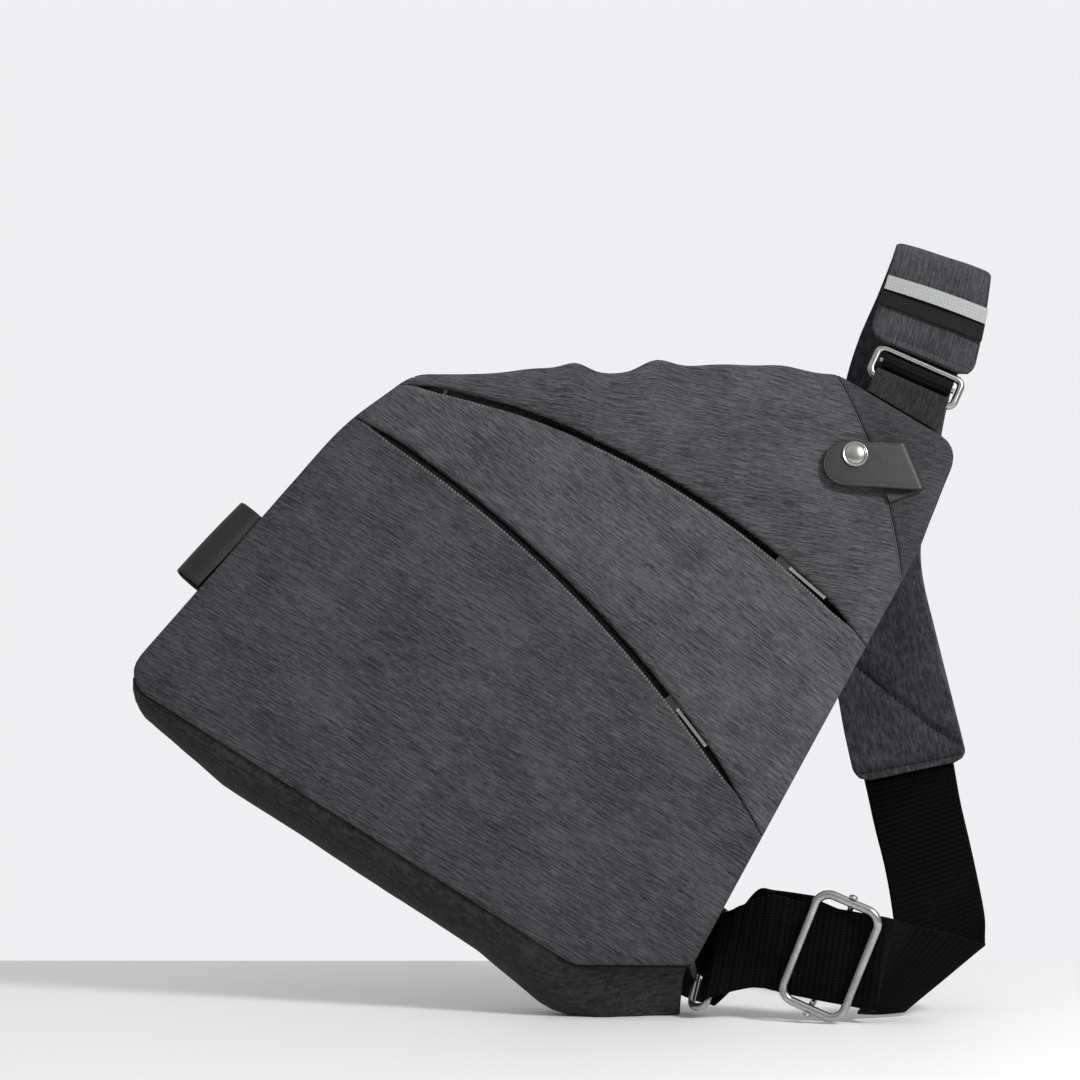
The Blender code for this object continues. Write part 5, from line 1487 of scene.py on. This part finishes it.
def pad_seams(lengths):
    """Share of the full depth of the pad's sewn lines: near both ends and a diagonal."""
    total = lengths[-1]

    def seams(along, across):
        to_end = total - along
        ends = sum(np.exp(-((gap - PAD_END_SEAM) / 1.1) ** 2) for gap in (along, to_end))
        diagonal = to_end - SEAM_INSET - (PAD_HALF_WIDTH - across) * SEAM_SLOPE
        sewn = np.exp(-(diagonal / 2.6) ** 2) * eased((to_end - 5.0) / 4.0)
        return np.clip(ends + sewn, 0.0, 1.0)

    return seams


def shoulder_pad(materials):
    """Foam pad sewn round its edge, with quilted ends and a seam across its rear leg."""
    left, right, lengths = pad_edges()
    total = lengths[-1]
    seams = pad_seams(lengths)

    def swell(along, across):
        from_end = np.minimum(along, total - along)
        full = 0.52 + 0.48 * eased(from_end / 9.0)
        from_edge = np.clip(PAD_HALF_WIDTH - np.abs(across), 0.0, None)
        crown = 0.92 + 0.2 * eased(from_edge / 14.0)
        soft = 1.0 + 0.05 * ripples(along, across, 26.0, 51)
        return full * crown * soft * (1.0 - 0.55 * seams(along, across))

    def rise(along, across):
        return 0.3 * ripples(along, across, 42.0, 52) * eased(np.minimum(along, total - along)
                                                              / 12.0)

    def lining_rise(along, across):
        """The underside puckers toward the foam along every seam."""
        waves = np.sin(2.0 * math.pi * (along + across) / PUCKER_PITCH)
        pull = seams(along, across) * (SEAM_LIFT + SEAM_PUCKER * waves)
        from_end = np.minimum(along, total - along)
        slack = 1.0 - eased(from_end / 9.0)
        soft = 0.45 * ripples(along, across, 24.0, 53) * eased(from_end / 10.0)
        return rise(along, across) + pull + 1.1 * slack + soft

    pad = add_strap("shoulder_pad_foam", left, right, PAD_THICKNESS, materials["pad"], "bag",
                    ("shoulder_pad",), "charcoal_fine_fabric", columns=44, edge=3.6, rise=rise,
                    swell=swell)
    lining = add_strap("shoulder_pad_underside", left, right, PAD_LINING,
                       materials["underside"], "bag", ("shoulder_pad_lining",),
                       "charcoal_fine_fabric", columns=50, edge=0.8,
                       offset=UNDERSIDE_LEVEL, rise=lining_rise)

    normal = strap_normals(left, right)
    keep = (lengths > 7.0) & (lengths < total - 7.0)
    for label, edge, sign in (("left", left, 1.0), ("right", right, -1.0)):
        line = edge + units(right - left) * sign + normal * 1.15
        points, faces = tube_solid(line[keep], 0.55)
        add_piece(f"pad_piping_{label}", placed(STAGE, points), faces, materials["tab"],
                  "bag", slot="charcoal_fine_fabric")
    pad_stitches(left, right, normal, lengths, materials)
    diagonal_stitches(left, right, normal, lengths, lining_rise, materials)
    reflective_strip(left, right, lengths, materials)


def surface_stitches(name, centres, headings, normals, half_length, material, width=0.24):
    template = bead_template((half_length, width, width), 3, 6)
    points, faces = repeated(template, centres, headings, normals)
    return add_piece(name, placed(STAGE, points), faces, material, "bag",
                     slot="charcoal_fine_fabric")


def pad_stitches(left, right, normal, lengths, materials):
    """Rows of stitches across the pad's two ends, on its outer face."""
    level = PAD_THICKNESS / 2.0 * 0.36 + 0.25
    for label, place in (("front", PAD_END_SEAM), ("rear", lengths[-1] - PAD_END_SEAM)):
        row = int(np.argmin(np.abs(lengths - place)))
        across = right[row] - left[row]
        count = int(np.linalg.norm(across) / PAD_STITCH_PITCH)
        shares = (np.arange(count) + 0.5) / count
        centres = left[row] + across * shares[:, None] + normal[row] * level
        surface_stitches(f"pad_end_stitches_{label}", centres,
                         np.tile(unit(across), (count, 1)), np.tile(normal[row], (count, 1)),
                         0.85, materials["dark_thread"])


def diagonal_stitches(left, right, normal, lengths, lining_rise, materials):
    """Stitches on the underside, along its diagonal seam and across its rear end; near-black and wide,
    so that they also paint the shade of the seam's groove.
    """
    total = lengths[-1]
    reach = PAD_HALF_WIDTH - 2.4
    offsets = np.arange(-reach, reach, UNDERSIDE_STITCH_PITCH)
    slanted = total - SEAM_INSET - (PAD_HALF_WIDTH - offsets) * SEAM_SLOPE
    ends = np.full_like(offsets, total - PAD_END_SEAM)
    for label, places in (("diagonal", slanted), ("rear", ends)):
        start = at_lengths(left, lengths, places)
        end = at_lengths(right, lengths, places)
        outward = at_lengths(normal, lengths, places)
        width = np.linalg.norm(end - start, axis=1)
        kept = np.abs(offsets) < width / 2.0 - 1.5
        line = start + (end - start) * (0.5 + offsets / width)[:, None]
        level = UNDERSIDE_LEVEL - PAD_LINING / 2.0 - 0.02 + lining_rise(places, offsets)
        line = line + outward * level[:, None]
        headings = np.gradient(line, axis=0)
        surface_stitches(f"pad_underside_stitches_{label}", line[kept], headings[kept],
                         outward[kept], 0.95, materials["seam_thread_painted_shade"], width=0.6)


def pad_length_at(index):
    """Length along the pad at a place counted in its given stations."""
    middle = (smooth_line(PAD_LEFT, 12) + smooth_line(PAD_RIGHT, 12)) / 2.0
    return float(lengths_along(middle)[round(index * 12)])


def reflective_strip(left, right, lengths, materials):
    """Silver strip that arches off the pad, and the black elastic under it."""
    half = PAD_THICKNESS / 2.0
    parts = (
        ("elastic_band_knit", "elastic_band", 2 / 3, 4 / 3, ELASTIC_THICKNESS,
         half + 0.95, 0.9, "elastic",
         "black_elastic"),
        ("reflective_strip_film", "reflective_strip", 1.0, 4 / 3, REFLECTIVE_THICKNESS, half + 2.2, 1.6,
         "reflective", "reflective_tape"),
    )
    for name, node, first, last, thickness, offset, arch, material, slot in parts:
        places = np.linspace(pad_length_at(first), pad_length_at(last), 14)
        start, end = at_lengths(left, lengths, places), at_lengths(right, lengths, places)
        width = np.linalg.norm(end[0] - start[0])

        def rise(along, across, arch=arch, width=width):
            return arch * np.cos(across / width * math.pi)

        add_strap(name, start, end, thickness, materials[material], "bag", (node,), slot,
                  columns=30, offset=offset, rise=rise)


def adjuster_axes():
    """Ways along and across the webbing at the adjuster, then along and across its frame."""
    yaw = math.radians(WEBBING_YAW_DEG)
    flat = np.array((math.cos(yaw), -math.sin(yaw), 0.0))
    up = np.array((0.0, 0.0, 1.0))
    ways = []
    for tilt in (math.radians(WEBBING_TILT_DEG), math.radians(ADJUSTER_TILT_DEG)):
        ways.append(math.cos(tilt) * flat - math.sin(tilt) * up)
        ways.append(math.sin(tilt) * flat + math.cos(tilt) * up)
    return ways


def adjuster_place():
    _, _, frame_x, frame_y = adjuster_axes()
    return axes(np.array(ADJUSTER_CENTRE) + STAGE_SHIFT, frame_x, frame_y)


def corner_ring_axes():
    long_axis = unit(CORNER_RING_LONG)
    short_axis = np.array(CORNER_RING_SHORT)
    short_axis = unit(short_axis - long_axis * short_axis.dot(long_axis))
    return short_axis, long_axis


def tucked_in(line):
    """Place before a line's start, where the webbing is sewn inside the end of the pad."""
    start, second = np.array(line[0]), np.array(line[1])
    return tuple(start + unit(start - second) * WEBBING_TUCK)


def add_station(left, right, middle, reach):
    """Add one place of a strap; reach runs from its middle to its right edge."""
    left.append(tuple(middle - reach))
    right.append(tuple(middle + reach))


def lower_webbing(materials):
    along, across, _, _ = adjuster_axes()
    centre = np.array(ADJUSTER_CENTRE)
    half_width = WEBBING_WIDTH / 2.0
    left = [tucked_in(WEBBING_LEFT), *WEBBING_LEFT]
    right = [tucked_in(WEBBING_RIGHT), *WEBBING_RIGHT]
    for distance in (22.0, 14.0, 0.0, -16.0, -31.0):
        add_station(left, right, centre + along * distance, across * half_width)
    short_axis, long_axis = corner_ring_axes()
    face = np.cross(short_axis, long_axis)
    bar = np.array(CORNER_RING_CENTRE) + short_axis * (CORNER_RING_SIZE[0] / 2.0
                                                       - CORNER_RING_WIRE)
    ring_reach = long_axis * RING_WEBBING_HALF_WIDTH
    front_end = bar + short_axis * 3.0 + face * RING_WEBBING_WRAP
    add_station(left, right, front_end, ring_reach)
    left, right = strap_edges(left, right, 1.8)
    lengths = lengths_along((left + right) / 2.0)
    middle = (left + right) / 2.0
    adjuster_at = lengths[np.argmin(np.linalg.norm(middle - centre, axis=1))]
    ring_at = lengths[-1]

    def rise(distance, place):
        """A hump inside the adjuster's window and crinkles between it and the bag."""
        hump = WINDOW_HUMP * np.exp(-((distance - adjuster_at) / 5.0) ** 4)
        crinkled = eased((distance - adjuster_at - 14.0) / 8.0) * eased((ring_at - distance) / 7.0)
        phase = 2.0 * math.pi * distance / CRINKLE_PITCH + 0.5 * np.sin(place / 7.0)
        crinkle = CRINKLE * np.sin(phase)
        slack = 0.2 * ripples(distance, place, 30.0, 61) * eased(distance / 10.0)
        level = np.clip(np.cos(place / 21.0 * math.pi / 2.0), 0.0, None) ** 0.5
        return hump * level + crinkled * crinkle + slack

    add_strap("lower_webbing_weave", left, right, WEBBING, materials["webbing"], "bag",
              ("lower_webbing",), "black_webbing", columns=34, edge=0.9, rise=rise)

    left = []
    right = []
    for angle in np.linspace(90.0, 270.0, 13):
        turn = math.radians(angle)
        depth = RING_WEBBING_WRAP if angle < 180.0 else RETURN_WRAP
        middle = bar + RING_WEBBING_WRAP * math.cos(turn) * short_axis
        middle = middle + depth * math.sin(turn) * face
        if angle == 90.0:
            middle = middle + short_axis * 2.5
        add_station(left, right, middle, ring_reach)
    front = np.cross(along, across)
    for distance, depth, lift in ((-37.0, -8.8, 0.5), (-29.0, -8.6, 2.0), (-11.0, -8.6, 2.7)):
        middle = centre + along * distance + front * depth + across * lift
        add_station(left, right, middle, across * half_width)
    left, right = strap_edges(left, right, 1.6, 8)
    add_strap("return_webbing_weave", left, right, WEBBING, materials["webbing"], "bag",
              ("return_webbing",), "black_webbing", columns=26, edge=0.9)


def webbing_end_loop(materials):
    """End of the webbing sewn round the adjuster's bar, with its short tail."""
    mid = (END_LOOP_INNER + END_LOOP_OUTER) / 2.0
    half = END_LOOP_HALF_WIDTH
    path = [(-END_TAIL_LENGTH + step, ADJUSTER_BAR_OFFSET - mid)
            for step in np.linspace(0.0, END_TAIL_LENGTH - 1.0, 9)]
    for angle in np.linspace(-math.pi / 2.0, math.pi * 1.36, 26):
        path.append((mid * math.cos(angle), ADJUSTER_BAR_OFFSET + mid * math.sin(angle)))
    path = np.array(path)
    left = np.column_stack((path[:, 0], np.full(len(path), half), path[:, 1]))
    right = np.column_stack((path[:, 0], np.full(len(path), -half), path[:, 1]))
    left, right = strap_edges(left, right, 0.9, 2)
    add_strap("webbing_end_loop_weave", left, right, END_LOOP_OUTER - END_LOOP_INNER - 0.1,
              materials["webbing"], "strap_adjuster", ("webbing_end_loop",), "black_webbing",
              place=adjuster_place(), columns=24, edge=0.7)


def top_ring_places():
    """Frames of the top ring's hinge and of its middle."""
    turn = math.radians(TOP_RING_TURN_DEG)
    s_axis, t_axis, _ = BAG[1]
    across = math.cos(turn) * s_axis + math.sin(turn) * t_axis
    upward = -math.sin(turn) * s_axis + math.cos(turn) * t_axis
    centre = placed(BAG, TOP_RING_CENTRE)
    lower_bar = TOP_RING_SIZE[1] / 2.0 - TOP_RING_WIRE
    return axes(centre - upward * lower_bar, across, upward), axes(centre, across, upward)


def top_ring_webbing(materials):
    """Webbing rolled round the ring's bar, and the cloth tab that holds the ring."""
    hinge, centre = top_ring_places()
    mid = ROLL_RADIUS - 0.75
    path = [(15.0, -ROLL_RADIUS - 0.3), (9.0, -ROLL_RADIUS + 0.2), (4.0, -mid - 0.1)]
    angles = np.linspace(-math.pi / 2.0 + 0.25, -math.pi / 2.0 - 2.0 * math.pi + 0.5, 26)
    path += [(TOP_BAR_HEIGHT + mid * math.cos(angle), mid * math.sin(angle))
             for angle in -angles - math.pi]
    path = np.array(path)
    left = np.column_stack((np.full(len(path), ROLL_HALF_WIDTH), path))
    right = np.column_stack((np.full(len(path), -ROLL_HALF_WIDTH), path))
    left, right = strap_edges(left, right, 0.9, 2)
    add_strap("ring_webbing_wrap", left, right, 1.5, materials["ring_webbing"], "strap_ring",
              ("ring_webbing_roll",), "black_webbing", place=centre, columns=26, edge=0.7)

    turn = math.radians(TOP_RING_TURN_DEG)
    half_tab = TOP_TAB_WIDTH / 2.0
    wrap = TOP_RING_WIRE + 0.4 + TOP_TAB_THICKNESS / 2.0
    foot = FRONT_CORNERS[3][1] + WALL_BULGE + 0.1
    lower_bar = TOP_RING_SIZE[1] / 2.0 - TOP_RING_WIRE
    places = [(None, -wrap), (-3.0, -wrap)]
    places += [(wrap * math.sin(angle), -wrap * math.cos(angle))
               for angle in np.linspace(0.0, math.pi, 15)]
    places += [(-3.0, wrap), (None, wrap)]
    left = []
    right = []
    for height, depth in places:
        for x, edge in ((-half_tab, left), (half_tab, right)):
            rise = height
            if rise is None:
                rise = (foot - TOP_RING_CENTRE[1] - x * math.sin(turn)) / math.cos(turn)
                rise += lower_bar
            edge.append((x, rise, depth))
    left, right = strap_edges(left, right, 0.9, 3)
    add_strap("top_tab_cloth", left, right, TOP_TAB_THICKNESS, materials["tab"], "bag",
              ("top_tab",), "charcoal_fine_fabric", place=hinge, columns=26, edge=0.8)


def corner_ring_tab(materials):
    short_axis, long_axis = corner_ring_axes()
    held_bar = CORNER_RING_SIZE[0] / 2.0 - CORNER_RING_WIRE
    hinge = np.array(CORNER_RING_CENTRE) - short_axis * held_bar
    place = axes(hinge + STAGE_SHIFT, short_axis, long_axis)
    wrap = CORNER_RING_WIRE + 0.4 + WEBBING / 2.0
    places = [(CORNER_TAB_REACH, wrap), (-2.0, wrap)]
    places += [(wrap * math.sin(angle), wrap * math.cos(angle))
               for angle in np.linspace(0.0, math.pi, 13)]
    places += [(-2.0, -wrap), (CORNER_TAB_REACH, -wrap)]
    low = CORNER_TAB_RAISED - CORNER_TAB_HALF_WIDTH
    high = CORNER_TAB_RAISED + CORNER_TAB_HALF_WIDTH
    left = [(x, low, z) for x, z in places]
    right = [(x, high, z) for x, z in places]
    left, right = strap_edges(left, right, 0.8, 3)
    add_strap("corner_ring_tab_weave", left, right, WEBBING, materials["webbing"], "bag",
              ("corner_ring_tab",), "black_webbing", place=place, columns=20, edge=0.7)


def seam_piping(materials):
    """Folded pale cloth along the corner panel's seam, a painted highlight, and a dark cord under the
    bottom seam, a painted shadow line.
    """
    # The pale tube along the corner seam paints that seam's highlight.
    line = resampled(corner_seam(0.35), 2.0)
    line = line[inside(FRONT_OUTLINE, line)]
    level = front_surface(line) - 0.28
    points, faces = tube_solid(np.column_stack((line, level)), 0.38)
    add_piece("corner_seam_painted_highlight_piping", placed(BAG, points), faces, materials["piping"], "bag",
              slot="charcoal_fine_fabric")

    # A near-black cord under the bottom seam paints the shadow line beneath the front's edge.
    front, _, outward, _ = wall_lines(0, 6)
    line = front + outward * BOTTOM_SHADOW_CORD_OUT
    level = np.full(len(line), -RIM_DROP - FABRIC - BOTTOM_SHADOW_CORD - 0.15)
    points, faces = tube_solid(np.column_stack((line, level)), BOTTOM_SHADOW_CORD)
    add_piece("bottom_seam_painted_shadow_cord", placed(BAG, points), faces, materials["tape"], "bag",
              slot="dark_gusset_fabric")


# ---------------------------------------------------------------- metal

def wire_path(size, wire, corner):
    """Middle line of a rounded rectangle of wire whose size is measured outside."""
    half_x = size[0] / 2.0 - wire
    half_y = size[1] / 2.0 - wire
    path = []
    for sign_x, sign_y, start in ((1, 1, 0), (-1, 1, 90), (-1, -1, 180), (1, -1, 270)):
        for angle in np.radians(np.linspace(start, start + 90.0, 13)):
            path.append((sign_x * (half_x - corner) + corner * math.cos(angle),
                         sign_y * (half_y - corner) + corner * math.sin(angle), 0.0))
    return resampled(np.array(path), 0.9, True)


def rings_and_rivets(materials):
    """Wire rings, snap parts and rivets, with true round sections."""
    def add_metal(name, node, solid, place, body):
        points, faces = solid
        add_piece(name, placed(place, points), faces, materials["metal"], body, (node,),
                  slot="brushed_nickel")

    _, top_place = top_ring_places()
    corner_place = axes(np.array(CORNER_RING_CENTRE) + STAGE_SHIFT, *corner_ring_axes())
    frame_place = adjuster_place()
    rings = (
        ("top_ring", TOP_RING_SIZE, TOP_RING_WIRE, TOP_RING_CORNER, top_place, 0.0,
         "strap_ring"),
        ("corner_ring", CORNER_RING_SIZE, CORNER_RING_WIRE, CORNER_RING_CORNER,
         corner_place, 0.0, "lower_ring"),
        ("adjuster_frame", ADJUSTER_SIZE, ADJUSTER_WIRE, ADJUSTER_CORNER, frame_place,
         ADJUSTER_OFFSET, "strap_adjuster"),
    )
    for node, size, wire, corner, place, lift, body in rings:
        path = wire_path(size, wire, corner) + np.array((0.0, 0.0, lift))
        add_metal(node + "_wire", node, ring_solid(path, wire), place, body)

    half = TOP_RING_SIZE[0] / 2.0 - 2.0 * TOP_RING_WIRE - GAP
    line = np.array([(x, TOP_BAR_HEIGHT, 0.0) for x in (-half, -half / 2.0, half / 2.0, half)])
    add_metal("top_ring_centre_bar", "top_ring_bar", tube_solid(line, TOP_BAR_RADIUS, 20),
              top_place, "strap_ring")

    reach = ADJUSTER_SIZE[1] / 2.0
    profile = [(1.2, 0.3), (1.9, 0.3)] + rounded_step(2.0, 0.4, 0.9, 0.2)
    profile += [(1.8 * math.cos(turn), 0.95 + 0.85 * math.sin(turn))
                for turn in np.linspace(0.0, 1.5, 9)]
    points, faces = turned_solid(profile, 28)
    x, y, z = points.T
    for label, sign in (("upper", 1.0), ("lower", -1.0)):
        turned = np.column_stack((x, sign * (reach + z), ADJUSTER_OFFSET - sign * y))
        add_metal(f"adjuster_rivet_{label}_head", f"adjuster_rivet_{label}", (turned, faces),
                  frame_place, "strap_adjuster")

    flap_place, middle, along, toward, _ = snap_frame()
    offset = np.array(SNAP_CENTRE) - middle
    on_flap = np.array((offset @ along, offset @ toward, 0.0))
    on_bag = np.array((*SNAP_CENTRE, 0.0))
    dome = [(4.55 * math.cos(turn), 1.15 + 1.4 * math.sin(turn))
            for turn in np.linspace(0.0, 1.52, 14)]
    cap = [(3.0, 0.3)] + rounded_step(SNAP_CAP_RADIUS, 0.3, 1.25, 0.5) + [(4.75, 1.0)] + dome
    stud = [(2.0, 0.3)] + rounded_step(4.4, 0.3, 1.1, 0.3)
    stud += [(1.7, 1.15), (1.6, 1.5), (2.0, 2.0), (1.6, 2.6), (0.5, 2.8)]
    parts = (
        ("snap_cap", turned_solid(cap, 44), flap_place, on_flap, "snap_flap"),
        ("snap_socket", tube_ring(2.4, 4.5, -4.1, -1.9), flap_place, on_flap, "snap_flap"),
        ("snap_stud", turned_solid(stud, 44), BAG, on_bag, "bag"),
    )
    for node, (points, faces), place, shift, body in parts:
        add_metal(node + "_turned", node, (points + shift, faces), place, body)


def metal_nodes(materials):
    """Sliders, pulls, stops and the adjuster's bar keep their CAD shape, with rounded edges; the
    sliders and stops get a dark nickel that is painted shade.
    """
    edged = {"adjuster_bar": 0.35}
    for name in ("upper", "lower"):
        edged[name + "_zip_slider"] = 0.3
        edged[name + "_zip_pull"] = 0.14
        edged[name + "_zip_stop_left"] = 0.25
        edged[name + "_zip_stop_right"] = 0.25
    for name, width in edged.items():
        item = frame["nodes"][name]
        bevel = item.modifiers.new("rounded_edges", "BEVEL")
        bevel.width = width * MM
        bevel.segments = 3
        bevel.limit_method = "ANGLE"
        item.data.materials.clear()
        # Sliders and stops get the dark nickel, painted shade for their place down in the slots.
        kind = "painted_shade_metal" if name.endswith(("_slider", "_left", "_right")) else "metal"
        item.data.materials.append(materials[kind])


# ---------------------------------------------------------------- stage

def studio():
    """Pale floor, plain backdrop light, soft key from the upper right and the camera."""
    scene = bpy.context.scene
    floor_mesh = bpy.data.meshes.new("floor")
    near, side = FLOOR_REACH
    corners = ((-side, near), (side, near), (side, FLOOR_EDGE), (-side, FLOOR_EDGE))
    floor_mesh.from_pydata([(x, y, -FLOOR_DROP) for x, y in corners], [], [(0, 1, 2, 3)])
    floor = bpy.data.objects.new("floor", floor_mesh)
    scene.collection.objects.link(floor)
    material, _, shader = new_material("floor_paper", 0.6, specular=0.3)
    shader.inputs["Base Color"].default_value = FLOOR_TONE
    floor_mesh.materials.append(material)

    world = bpy.data.worlds.new("studio")
    scene.world = world
    world.use_nodes = True
    background = world.node_tree.nodes["Background"]
    tree = world.node_tree
    heading = add_node(tree, "TexCoord").outputs["Generated"]
    parts = add_node(tree, "SeparateXYZ", {0: heading})
    behind = add_node(tree, "MapRange", {"Value": parts.outputs[1], "From Min": BACKDROP_FROM,
                                         "From Max": BACKDROP_FULL, "To Min": 0.0,
                                         "To Max": 1.0})
    overhead = add_node(tree, "MapRange", {"Value": parts.outputs[2], "From Min": 0.0,
                                           "From Max": 0.9, "To Min": ROOM_LOW,
                                           "To Max": ROOM_HIGH})
    room = add_node(tree, "CombineColor", {0: overhead.outputs[0], 1: overhead.outputs[0],
                                           2: overhead.outputs[0]})
    mix = add_node(tree, "Mix", {"Factor": behind.outputs[0]}, data_type="RGBA")
    mix.inputs[7].default_value = BACKDROP_TONE
    tree.links.new(room.outputs[0], mix.inputs[6])
    tree.links.new(mix.outputs[2], background.inputs["Color"])
    background.inputs["Strength"].default_value = 1.0

    def area_light(name, place, target, size, power):
        light = bpy.data.lights.new(name, "AREA")
        light.shape = "DISK"
        light.size = size
        light.energy = power
        item = bpy.data.objects.new(name, light)
        scene.collection.objects.link(item)
        item.location = place
        heading = Vector(target) - Vector(place)
        item.rotation_euler = heading.to_track_quat("-Z", "Y").to_euler()

    area_light("key", KEY_PLACE, (0.0, 0.0, 0.16), KEY_SIZE, KEY_POWER)

    camera = bpy.data.cameras.new("camera")
    camera.lens = CAMERA_LENS
    camera.sensor_width = SENSOR_WIDTH
    item = bpy.data.objects.new("camera", camera)
    scene.collection.objects.link(item)
    item.location = CAMERA_PLACE
    item.rotation_euler = (math.radians(90.0 + CAMERA_PITCH_DEG), 0.0, 0.0)
    scene.camera = item
    scene.view_settings.view_transform = "Standard"
    scene.view_settings.look = "None"


# ---------------------------------------------------------------- assembly

studio()
MATERIALS = make_materials()
front_panels(MATERIALS)
seam_piping(MATERIALS)
side_walls(MATERIALS)
back_and_inside(MATERIALS)
zips(MATERIALS)
snap_tab(MATERIALS)
side_loop(MATERIALS)
shoulder_pad(MATERIALS)
lower_webbing(MATERIALS)
webbing_end_loop(MATERIALS)
top_ring_webbing(MATERIALS)
corner_ring_tab(MATERIALS)
rings_and_rivets(MATERIALS)
metal_nodes(MATERIALS)
